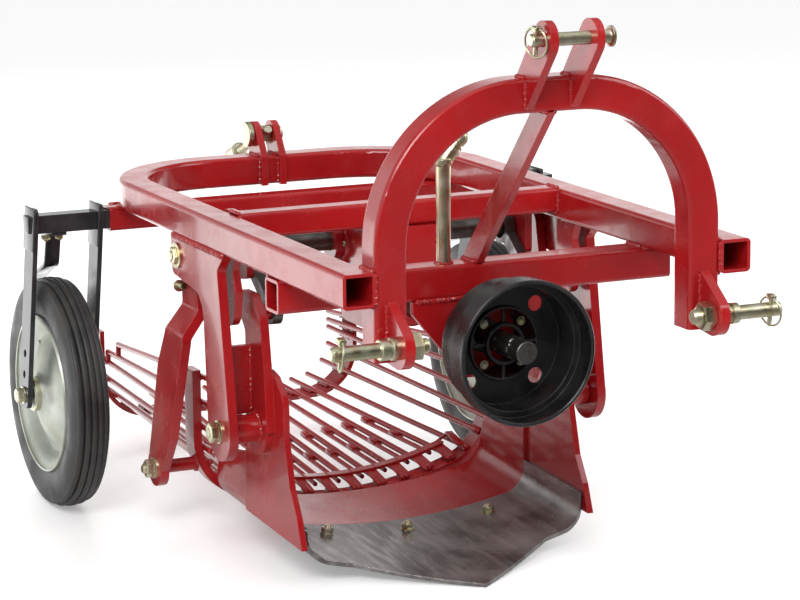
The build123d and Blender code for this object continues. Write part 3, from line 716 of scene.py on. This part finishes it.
def makeProp():
    # a plain rod, a collar, and the tapered stud that leans out of it
    centre, foot = midOf("mast_prop"), span("mast_prop").low
    rod, seat = prop["rod"], prop["seat"]
    profile = [(0, 0), (0, rod), (seat - 0.004, rod), (seat - 0.002, rod + 0.0022), (seat, rod + 0.003)]
    profile += [(seat + 0.007, rod + 0.003), (seat + 0.0085, rod + 0.0015), (seat + 0.009, 0)]
    bm = bmesh.new()
    addPart(bm, turnedPart(profile, 40), moveTo((centre.x, centre.y, foot)))
    lean = moveTo((centre.x, centre.y, foot + seat + 0.002)) @ Matrix.Rotation(prop["lean"], 4, "Y")
    stud = inMetres([(-6, 0), (-6, 10.4), (4, 11), (16, 12), (20.5, 12.7), (22.5, 12.7),
                     (23.5, 9.4), (26.5, 9.4), (27, 11.6), (29.2, 11.6), (29.8, 8.8), (33, 8.8),
                     (34, 10.8), (41, 11.7), (47, 10.8), (51.5, 7.5), (53, 3.5), (53, 0)])
    stud = [(along * prop["longer"], out * prop["thicker"]) for along, out in stud]
    addPart(bm, turnedPart(stud, 36), lean)
    made = makePiece("propRod", bm, "zinc", "frame")
    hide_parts("mast_prop")


makeProp()

screw = {"radius": 0.008, "pitch": 0.003, "grip": 0.69, "nut": 0.22}


def makeLevellingScrew():
    # cross pin, swivel block and the threaded spindle with its grip
    ears = span("rear_clevis")
    pivot = Vector((0, ears.rear - 0.022, ears.high - 0.022))
    bm = bmesh.new()
    pin = inMetres([(-34, 0), (-34, 20.5), (-32.5, 22), (-25.5, 22), (-24, 20.5), (-24, 8),
                    (27.5, 8), (30, 6.2), (30, 0)])
    addTurned(bm, pin, 40, pivot, (1, 0, 0))
    addPart(bm, ringPart(0.0135, 0.0014), aimAt(pivot + Vector((0.0262, 0, 0)), (1, 0.3, 0.1)))
    addBlock(bm, (0.021, 0.026, 0.026), 0.002, 3, moveTo(pivot))
    start = pivot + Vector((0, -0.024, 0.010))
    end = pivot + Vector((0, 0.17, -0.069))
    run = (end - start).length
    spindle = [(0, 0), (0, 0.0062)] + threadProfile(0.002, run - 0.004, screw["radius"], screw["pitch"])
    spindle += [(run, 0.0062), (run, 0)]
    addTurned(bm, spindle, 20, start, end - start)
    grip = inMetres([(0, 8.5), (0, 12.5), (3, 15), (12, 13.8), (21, 14.8), (31, 13.8),
                     (40, 15), (43, 12.5), (43, 8.5)])
    addTurned(bm, grip, 32, start.lerp(end, screw["grip"]), end - start)
    addHex(bm, (0.024, 0.010, 0.0078), start.lerp(end, screw["nut"]), end - start)
    made = makePiece("levellingSpindle", bm, "zinc", "frame")
    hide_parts("levelling_screw")


makeLevellingScrew()
print("bolts and pins made")


spline = {"teeth": 6, "radius": 0.01745, "root": 0.83}
# the splined end as drawn sections, with the locking groove
splineSteps = [(0, 0.9, 0), (0.002, 1, 0), (0.026, 1, 0), (0.028, 0.87, 0), (0.034, 0.87, 0),
               (0.036, 1, 0), (0.078, 1, 0), (0.082, 0.85, 0)]


def makeShaft():
    box, centre = span("pto_shaft"), midOf("pto_shaft")
    radius = spline["radius"]
    part = drawnPart(splineSteps, spline["teeth"] * 8, radius, spline["root"])
    bm = bmesh.new()
    addPart(bm, part, aimAt((0, box.front, centre.z), (0, 1, 0)))
    collar, end = span("front_cross_tube").front - box.front, box.rear - box.front
    plain = [(0.079, 0), (0.079, radius - 0.0015), (0.081, radius), (collar - 0.015, radius)]
    plain += [(collar - 0.014, 0.0255), (collar - 0.0125, 0.0262), (collar - 0.0025, 0.0262)]
    plain += [(collar - 0.001, 0.0255), (collar - 0.001, radius), (end, radius), (end, 0)]
    addTurned(bm, plain, 48, (0, box.front, centre.z), (0, 1, 0))
    cap = inMetres([(3, 0), (0, 2), (-0.2, 15.5), (1.2, 17.2), (13, 17.6), (14.5, 16.8), (14.5, 14)])
    addTurned(bm, cap, 48, (0, box.front - 0.0002, centre.z), (0, 1, 0))
    shaft = makePiece("splinedShaft", bm, "shaft_steel", "pto")
    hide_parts("pto_shaft")


makeShaft()

guard = {"radius": 0.107, "lip": 0.003, "floor": 0.086, "webs": 4, "screws": 4, "screwCircle": 0.043}


def makeGuardDetails():
    # rolled mouth, and the bearing plate inside
    box, centre = span("pto_guard"), midOf("pto_guard")
    place = Vector((0, box.front, centre.z))
    radius, lip = guard["radius"], guard["lip"]
    bm = bmesh.new()
    mouth = [(0.0, radius - 0.0045), (-lip * 0.5, radius - 0.003), (-lip * 0.5, radius)]
    mouth += [(0.0, radius + lip * 0.5), (lip * 1.6, radius + lip * 0.6)]
    mouth += [(lip * 2.2, radius - 0.0005), (lip * 2.2, radius - 0.0045)]
    addTurned(bm, mouth + [mouth[0]], 96, place, (0, 1, 0))
    floorAt = guard["floor"]
    for inner, outer, rise in ((0.026, 0.032, 0.011), (0.052, 0.056, 0.006)):
        top = floorAt - rise
        ring = [(floorAt, inner), (top, inner + 0.0008), (top, outer - 0.0008), (floorAt, outer)]
        addTurned(bm, ring, 72, place, (0, 1, 0))
    for i in range(guard["webs"]):
        spoke = Matrix.Rotation(tau * i / guard["webs"], 4, "Y") @ moveTo((0.042, 0, 0))
        middle = moveTo(place + Vector((0, floorAt - 0.002, 0)))
        addBlock(bm, (0.026, 0.005, 0.0045), 0.0008, 2, middle @ spoke)
    makePiece("guardDetails", bm, "guard_plastic", "frame")
    bm = bmesh.new()
    for i in range(guard["screws"]):
        turn = tau * (i + 0.5) / guard["screws"]
        spot = place + Vector((cos(turn) * guard["screwCircle"], floorAt, sin(turn) * guard["screwCircle"]))
        addHex(bm, (0.010, 0.0042), spot, (0, -1, 0), i)
        washer = inMetres([(0, 0), (0, 6.8), (1.2, 6.8), (1.2, 0)])
        addTurned(bm, washer, 24, spot, (0, -1, 0))
    makePiece("guardScrews", bm, "zinc", "frame")


makeGuardDetails()


gearbox = {"half": 0.065, "screws": 6, "screwCircle": 0.0355}


def makeGearboxDetails():
    # raised covers with their screws, a filler plug, and a shaft seal
    box, half = span("gearbox"), gearbox["half"]
    middleY = (box.front + box.rear) / 2 + 0.012
    shaftAt = midOf("crankshaft")
    cover, screws = bmesh.new(), bmesh.new()
    disc = inMetres([(0, 30.5), (0, 41), (4, 40), (5.5, 38), (5.5, 30.5)])
    for outward in (-1, 1):
        addTurned(cover, disc, 56, (outward * half, shaftAt.y, shaftAt.z), (outward, 0, 0))
        for i in range(gearbox["screws"]):
            turn = tau * i / gearbox["screws"]
            ray = Vector((0, cos(turn), sin(turn))) * gearbox["screwCircle"]
            spot = Vector((outward * (half + 0.0055), shaftAt.y, shaftAt.z)) + ray
            addHex(screws, (0.008, 0.004), spot, (outward, 0, 0), i)
    addBlock(cover, (0.1, 0.1, 0.006), 0.002, 3, moveTo((0, middleY, box.high + 0.002)))
    addPart(screws, hexPart(0.019, 0.010), moveTo((0.02, middleY + 0.02, box.high + 0.005)))
    for x in (-0.04, 0.04):
        for y in (-0.04, 0.04):
            addPart(screws, hexPart(0.010, 0.005), moveTo((x, middleY + y, box.high + 0.005)))
    seal = inMetres([(0, 18.5), (-4, 19.5), (-4, 30), (0, 34.5), (12, 36.5), (12, 34.5)])
    addTurned(cover, seal, 48, (0, box.front, midOf("pto_shaft").z), (0, 1, 0))
    makePiece("gearboxCovers", cover, "frame_paint", "frame")
    makePiece("gearboxScrews", screws, "zinc", "frame")


makeGearboxDetails()
print("drive made")


bladeBolts = {"across": (-0.14, 0.0, 0.145), "ahead": 0.052, "size": 0.0105}


def dropOn(node, x, y):
    # the point of a node's upper surface under (x, y), and its normal
    tree = BVHTree.FromObject(nodes[node], bpy.context.evaluated_depsgraph_get())
    hit, normal, _, _ = tree.ray_cast(Vector((x, y, 0.12)), Vector((0, 0, -1)))
    return hit, normal


def makeBladeBolts():
    seam = span("share_blade").rear
    bm = bmesh.new()
    for i, x in enumerate(bladeBolts["across"]):
        spot, normal = dropOn("share_blade", x, seam - bladeBolts["ahead"])
        boltEnd(bm, spot, normal, {"size": bladeBolts["size"], "tail": 1.3, "turn": i * 0.7})
    makePiece("bladeBolts", bm, "zinc", "share")


makeBladeBolts()


comb = {"width": 0.019, "thick": 0.004, "lift": 0.0085, "curve": 0.57, "bendStart": 0.165, "bend": 0.088}
rod = {"radius": 0.005, "floorHalf": 0.2, "nodes": ("floor_rods", "side_rods_left", "side_rods_right")}


def floorRods():
    return [ends for ends in rodsOf("floor_rods") if abs(ends[0].x) < rod["floorHalf"]]


def roundTip(bm, place, radius):
    part = bmesh.new()
    bmesh.ops.create_uvsphere(part, u_segments=12, v_segments=8, radius=radius * 0.995)
    addPart(bm, part, moveTo(place))


def addRod(bm, start, end, radius):
    addPart(bm, drawnPart([(0, 1, 0), ((end - start).length, 1, 0)], 12, radius), aimAt(start, end - start))


def addStrip(bm, start, end, width, sideways, extra=0):
    along = (end - start).normalized()
    face = along.cross(sideways).normalized()
    turned = Matrix((face.cross(along), face, along)).transposed().to_4x4()
    size = (width, comb["thick"], (end - start).length + extra)
    addBlock(bm, size, 0.0009, 2, moveTo((start + end) / 2) @ turned)


def makeComb():
    # each tooth is a flat strip from the comb down to the front bar, along its rod
    strip, bar = span("sieve_comb"), span("sieve_front_bar")
    floor, lift = floorRods(), Vector((0, 0, comb["lift"]))
    bm = bmesh.new()
    for ends in floor:
        back = alongLine(ends, strip.rear - 0.004) + lift
        front = alongLine(ends, bar.front + 0.006) + Vector((0, 0, -0.001))
        lean = back.x / comb["curve"]
        sideways = Vector((cos(lean), 0, sin(lean)))
        addStrip(bm, back, front, comb["width"], sideways)
        edge = back + sideways * comb["width"] / 2
        weldBead(bm, edge + Vector((0, -0.016, 0.001)), edge + Vector((0, 0.002, 0.002)), 0.002)
    # on the right the comb runs on to one more rod, with a wider tooth
    last = max(floor, key=lambda ends: ends[0].x)
    beyond = [ends for ends in rodsOf("floor_rods") if ends[0].x > last[0].x + 0.002]
    outer = min(beyond, key=lambda ends: ends[0].x)
    inner, tip = (alongLine(ends, strip.rear - 0.004) for ends in (last, outer))
    inner, tip = inner + lift, tip + lift * 1.3
    foot = alongLine(outer, bar.front + 0.012) + Vector((-0.006, 0, 0.004))
    for start, end, width in ((inner, tip, 0.006), (tip, foot, 0.014)):
        sideways = (end - start).cross(Vector((0, 0, 1))).normalized()
        addStrip(bm, start, end, width, sideways, 0.003)
    makePiece("combTeeth", bm, "frame_paint", "sieve")


makeComb()


floorBar = {"radius": 0.004, "shift": (-0.010, 0, -0.0065), "lug": (0.018, 0.009, 0.026), "lugs": (0.02, 0.46)}


def makeFloorBars():
    # floor rods that CAD stops short run on to the rear, and a short bar is
    # linked to each floor rod by two lugs, from the comb rearwards
    floor = floorRods()
    strip = span("sieve_comb")
    shortEnd, longEnd = min(ends[1].y for ends in floor), max(ends[1].y for ends in floor)
    shift = Vector(floorBar["shift"])
    bm = bmesh.new()
    for ends in floor:
        end = alongLine(ends, longEnd)
        if ends[1].y < longEnd - 0.01:
            addRod(bm, alongLine(ends, shortEnd - 0.004), end, rod["radius"])
            roundTip(bm, end, rod["radius"])
        front, back = alongLine(ends, strip.rear - 0.006) + shift, alongLine(ends, shortEnd) + shift
        addRod(bm, front, back, floorBar["radius"])
        roundTip(bm, back, floorBar["radius"])
        turn = aimAt(front, back - front).to_3x3().to_4x4()
        for part in floorBar["lugs"]:
            middle = moveTo(back.lerp(front, part) - shift * 0.45)
            addBlock(bm, floorBar["lug"], 0.0012, 2, middle @ turn)
    makePiece("floorBars", bm, "frame_paint", "sieve")


makeFloorBars()


def makeRodEnds():
    # rounded ends on every rod, and the links that join the upper left rods
    bm = bmesh.new()
    for node in rod["nodes"]:
        for ends in rodsOf(node):
            for end in ends:
                roundTip(bm, end, rod["radius"])
    wall = sorted(rodsOf("side_rods_left"), key=lambda ends: -ends[0].z)
    for upper, lower in zip(wall[:2], wall[1:3]):
        addRod(bm, upper[1], alongLine(lower, upper[1].y), rod["radius"])
    makePiece("rodEnds", bm, "frame_paint", "sieve")


makeRodEnds()


def makeRodWelds():
    bm = bmesh.new()
    bars = [span("sieve_front_bar"), span("sieve_rear_bar")]
    for node in rod["nodes"]:
        for ends in rodsOf(node):
            for bar in bars:
                if node != "floor_rods" and ends[1].y < bar.rear:
                    continue
                start, end = alongLine(ends, bar.front + 0.004), alongLine(ends, bar.rear - 0.004)
                side = 1 if start.x > 0 else -1
                climb = min(max((abs(start.x) - comb["bendStart"]) / comb["bend"], 0), 1)
                outwards = Vector((side * climb, 0, -sqrt(1 - climb * climb)))
                tangent = outwards.cross(Vector((0, 1, 0)))
                for way in (-1, 1):
                    shift = outwards * 0.0035 + tangent * way * 0.0042
                    weldBead(bm, start + shift, end + shift, 0.0024)
    makePiece("rodWelds", bm, "frame_paint", "sieve")


makeRodWelds()
print("sieve made")


earThick = 0.012


def earFaces(box, nudge=0):
    # the four faces of a pair of plates
    return (*flanks(SimpleNamespace(left=box.left, right=box.left + earThick), nudge),
            *flanks(SimpleNamespace(left=box.right - earThick, right=box.right), nudge))


def makeFrameWelds():
    arm, arch = span("main_frame"), span("mast_arch")
    tube = arm.high - arm.low
    inner, under = arm.right - tube, arm.low - 0.0005
    bm = bmesh.new()
    for side in (-1, 1):
        x = side * inner
        for y in (arch.front - 0.0005, arch.rear + 0.0005):
            beadUp(bm, x, y, arm, 0.003)
        for z in (arm.high - 0.001, arm.low + 0.001):
            beadBack(bm, x + side * 0.001, z, arch, 0.004, 0.0044)
        for node in ("front_cross_tube", "gauge_tube"):
            cross = span(node)
            for y in (cross.front + 0.0015, cross.rear - 0.0015):
                weldBead(bm, (x, y, under), (side * (arm.right - 0.003), y, under))
            beadBack(bm, x, arm.low, cross, 0.004, 0.0044)
        cross = span("mid_cross_tube")
        x = side * (inner - 0.0005)
        for y in (cross.front, cross.rear):
            beadUp(bm, x, y, cross, 0.002)
        for z in (cross.low, cross.high):
            beadBack(bm, x, z, cross, 0.002)
    makePiece("frameWelds", bm, "frame_paint", "frame")


def makeMastWelds():
    arch, ears, brace = span("mast_arch"), span("top_link_ears"), span("mast_brace")
    cross = span("front_cross_tube")
    tube = cross.high - cross.low
    bm = bmesh.new()
    top = arch.high - tube
    for x in earFaces(ears, 0.0008):
        weldBead(bm, (x, arch.front - 0.0005, top + 0.006), (x, arch.front - 0.0005, arch.high - 0.006))
        weldBead(bm, (x, arch.front + 0.003, arch.high), (x, arch.front + 0.028, arch.high))
    for x in flanks(brace):
        beadBack(bm, x, top - 0.0005, arch, 0.003)
        beadBack(bm, x, cross.high + 0.0005, cross, 0.003, 0.0042)
    foot = midOf("mast_prop")
    weldRing(bm, (foot.x, foot.y, cross.high), (0, 0, 1), 0.0125)
    makePiece("mastWelds", bm, "frame_paint", "frame")


def makePlateWelds():
    arm, arch = span("main_frame"), span("mast_arch")
    under = arm.low - 0.0005
    bm = bmesh.new()
    for side, outward in bothSides:
        hanger, lug = span(f"hanger_{side}"), span(f"pivot_lug_{side}")
        outerX = outward * (arm.right - 0.0015)
        innerX = outward * (awayFromMiddle(hanger)[0] - 0.0005)
        for x, size in ((outerX, 0.0052), (innerX, 0.004)):
            weldBead(bm, (x, hanger.front + 0.016, under), (x, hanger.rear - 0.004, under), size)
        for x in flanks(lug):
            beadBack(bm, x, under, lug, 0.004)
        plate, y = span(f"hitch_plate_{side}"), arch.front - 0.0008
        for x in flanks(plate):
            weldBead(bm, (x, y, arch.low + 0.004), (x, y, plate.high - 0.004))
        crank, cross = span(f"crank_plate_{side}"), span("mid_cross_tube")
        y = crank.front + 0.0005
        for x in flanks(crank):
            weldBead(bm, (x, y, cross.low + 0.004), (x, y, cross.high - 0.006))
    clevis = span("rear_clevis")
    tubeFront = arm.rear - (arm.high - arm.low)
    for x in earFaces(clevis):
        beadUp(bm, x, tubeFront - 0.0005, arm, 0.004)
        weldBead(bm, (x, tubeFront + 0.006, arm.high), (x, arm.rear - 0.006, arm.high))
    bracket, cross = span("drive_bracket"), span("front_cross_tube")
    z = cross.low - 0.0005
    for y in (cross.front + 0.0005, cross.front + 0.0105):
        weldBead(bm, (bracket.left + 0.004, y, z), (bracket.right - 0.004, y, z), 0.0042)
    makePiece("plateWelds", bm, "frame_paint", "frame")


# how far out the levers, their webs and the rocker arms' feet are welded
weldAt = {"lever": 0.2645, "web": 0.265, "rockerFoot": 0.3245}


def makeShareWelds():
    trough, pivot = span("share_trough"), hinge("share_shake")
    bm = bmesh.new()
    for outward in (-1, 1):
        wallX = outward * (trough.right + 0.0005)
        rearY = trough.front + 0.0155
        weldBead(bm, (wallX, rearY, 0.07), (wallX, rearY, 0.142))
        weldRing(bm, (outward * weldAt["lever"], pivot.y, pivot.z), (outward, 0, 0), 0.0232, 0.0032)
        webX = outward * weldAt["web"]
        for y in (pivot.y + 0.0165, pivot.y + 0.0275):
            weldBead(bm, (webX, y, pivot.z + 0.026), (webX, y, pivot.z + 0.126), 0.003)
    makePiece("shareWelds", bm, "frame_paint", "share")


def makeRockerWelds():
    bm = bmesh.new()
    bar = span("sieve_front_bar")
    for side, outward in bothSides:
        arm = span(f"rocker_arm_{side}")
        foot = Vector((0, arm.rear - 0.030, arm.low + 0.030))
        for x in (weldAt["rockerFoot"], bar.right - 0.0025):
            weldRing(bm, foot + Vector((outward * x, 0, 0)), (outward, 0, 0), 0.0118)
    makePiece("rockerWelds", bm, "frame_paint", "sieve")


makeFrameWelds()
makeMastWelds()
makePlateWelds()
makeShareWelds()
makeRockerWelds()
print("welds made")


fork = {"cap": (0.0045, 0.052, 0.072), "plug": 0.0285, "leg": 0.008, "legs": (0.343, 0.455),
        "crown": 0.403, "rightEnd": 0.4915}


def makeForkDetails():
    barZ = midOf("gauge_tube").z
    for side, outward in bothSides:
        axle = hinge(f"wheel_spin_{side}")
        lean = outward * (abs(axle.x) - fork["crown"]) / (barZ + 0.026 - axle.z)
        coat, zinc = bmesh.new(), bmesh.new()
        turned = Matrix.Rotation(-lean, 4, "Y")
        for legX in fork["legs"]:
            place = moveTo((outward * (legX + fork["leg"] + 0.0024), axle.y, barZ - 0.008))
            addBlock(coat, fork["cap"], 0.0018, 3, place @ turned)
        plugX = -(fork["legs"][1] + fork["leg"] + 0.0062) if side == "left" else fork["rightEnd"]
        addBlock(coat, (0.006, fork["plug"], fork["plug"]), 0.0016, 3, moveTo((plugX, axle.y, barZ)))
        for way in (-1, 1):
            face = (axle.x + way * 0.0602, axle.y, axle.z)
            boltEnd(zinc, face, (way, 0, 0), {"size": 0.0135, "tail": 0.95, "turn": 0.3 + 0.1 * way})
        for x in (abs(axle.x) - 0.012, abs(axle.x) + 0.012):
            clamp = {"size": 0.008, "tail": 1.2, "turn": x * 9}
            boltEnd(zinc, (outward * x, axle.y + 0.004, barZ - 0.021), (0, 0, -1), clamp)
        makePiece(f"forkDoublers_{side}", coat, "black_coat", "frame")
        makePiece(f"forkBolts_{side}", zinc, "zinc", "frame")
        collar = bmesh.new()
        ring = inMetres([(36.5, 24.5), (36.5, 27.5), (37.5, 28.5), (45.5, 28.5), (46.5, 27.5), (46.5, 23.5)])
        for way in (-1, 1):
            addTurned(collar, ring, 40, axle, (way, 0, 0))
        makePiece(f"hubCollars_{side}", collar, "zinc", f"wheel_{side}")


makeForkDetails()

strap = {"narrow": 0.64, "inwards": 0.0065}


def makeScrapers():
    # a bent strap, narrower than the tyre
    for side, outward in bothSides:
        node = f"scraper_{side}"
        middle = midOf(node).x
        bm = meshOf(node)
        bmesh.ops.dissolve_limit(bm, angle_limit=radians(1), verts=bm.verts, edges=bm.edges)
        centre = moveTo((-middle, 0, 0))
        bmesh.ops.scale(bm, vec=(strap["narrow"], 1, 1), space=centre, verts=bm.verts)
        bmesh.ops.translate(bm, vec=(-outward * strap["inwards"], 0, 0), verts=bm.verts)
        softenEdges(bm, 0.0008, 2, 50)
        made = makePiece(f"scraperStrap_{side}", bm, "black_coat", "frame")
        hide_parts(node)


makeScrapers()
print("forks made")


shot = {"place": (-1.9446, -4.3876, 1.3415), "turn": 24.489, "dip": 11.473, "roll": 0.441, "lens": 136.2}


def makeCamera():
    turn, dip, roll = (radians(shot[key]) for key in ("turn", "dip", "roll"))
    level = Matrix.Rotation(-turn, 4, "Z") @ Matrix.Rotation(pi / 2 - dip, 4, "X")
    lens = bpy.data.cameras.new("studioCamera")
    lens.lens = shot["lens"]
    lens.sensor_width = 36
    scene.camera = addObject("studioCamera", lens)
    scene.camera.matrix_world = moveTo(shot["place"]) @ level @ Matrix.Rotation(-roll, 4, "Z")


makeCamera()


studio = {"world": 0.62, "floor": (0.86, 0.86, 0.86, 1), "lift": 0.3, "dimSide": 0.05, "dimHigh": 0.16,
          "fallOff": (-1.1, 0.1), "mirrored": 1.5}


def makeFloor():
    bm = bmesh.new()
    bmesh.ops.create_grid(bm, x_segments=1, y_segments=1, size=30)
    mesh = bpy.data.meshes.new("studioFloor")
    bm.to_mesh(mesh)
    bm.free()
    floor = addObject("studioFloor", mesh)
    material, tree, shader, place = startFinish("studioFloor")
    feed(shader, {"Roughness": 0.32, "Specular IOR Level": 0.25, "Emission Color": (1, 1, 1, 1)})
    light = tree.nodes.new("ShaderNodeLightPath").outputs
    lift = mathOf(tree, "MULTIPLY", light["Is Camera Ray"], studio["lift"])
    # mirrored in the paint, the floor falls off to a dark room in front of the digger
    parts = addNode(tree, "ShaderNodeSeparateXYZ", {"Vector": place}).outputs
    nearer = mapTo(tree, parts["Y"], 0.8, 0.0, *studio["fallOff"])
    dim = mathOf(tree, "MULTIPLY", nearer, light["Is Glossy Ray"])
    feed(shader, {"Base Color": blendColour(tree, dim, studio["floor"], (0, 0, 0, 1))})
    sweep = mapTo(tree, parts["Y"], 0.0, studio["mirrored"], 0.2, 1.2)
    glow = mathOf(tree, "MULTIPLY", sweep, light["Is Glossy Ray"])
    feed(shader, {"Emission Strength": mathOf(tree, "ADD", lift, glow)})
    mesh.materials.append(material)


def makeWorld():
    world = bpy.data.worlds.new("studioWorld")
    scene.world = world
    world.use_nodes = True
    tree = world.node_tree
    background = tree.nodes["Background"]
    light = tree.nodes.new("ShaderNodeLightPath").outputs
    facing = tree.nodes.new("ShaderNodeTexCoord").outputs["Generated"]
    parts = addNode(tree, "ShaderNodeSeparateXYZ", {"Vector": facing}).outputs
    # the studio is white behind and above the digger, and dim behind the camera
    ahead = mapTo(tree, parts["Y"], studio["dimSide"], 1.1, -0.45, 0.3)
    low = mapTo(tree, parts["Z"], 1.0, studio["dimHigh"], 0.24, 0.42)
    above = mapTo(tree, parts["Z"], 0.0, 0.75, 0.6, 0.95)
    higher = mathOf(tree, "MAXIMUM", mathOf(tree, "MULTIPLY", ahead, low), above)
    leftward = mapTo(tree, parts["X"], 0.9, 0.0, -0.85, -0.45)
    mirror = mathOf(tree, "MAXIMUM", higher, leftward)
    seen = blendNumber(tree, light["Is Glossy Ray"], studio["world"], mirror)
    strength = mathOf(tree, "MAXIMUM", seen, light["Is Camera Ray"])
    feed(background, {"Color": (1, 1, 1, 1), "Strength": strength})


lamps = [
    {"name": "keyPanel", "place": (-2.4, -3.2, 3.4), "size": 2.2, "power": 150},
    {"name": "fillPanel", "place": (3.2, -2.2, 2.6), "size": 2.4, "power": 60},
    {"name": "backPanel", "place": (0.6, 3.6, 3.4), "size": 2.6, "power": 90, "mirrored": False},
]


def makeLamp(lamp):
    light = bpy.data.lights.new(lamp["name"], "AREA")
    light.shape = "SQUARE"
    light.size = lamp["size"]
    light.energy = lamp["power"]
    panel = addObject(lamp["name"], light)
    panel.visible_glossy = lamp.get("mirrored", True)
    aim = Vector((0, 0, 0.35)) - Vector(lamp["place"])
    turned = aim.to_track_quat("-Z", "Y").to_matrix().to_4x4()
    panel.matrix_world = moveTo(lamp["place"]) @ turned


makeFloor()
makeWorld()
for lamp in lamps:
    makeLamp(lamp)
scene.view_settings.view_transform = "Standard"
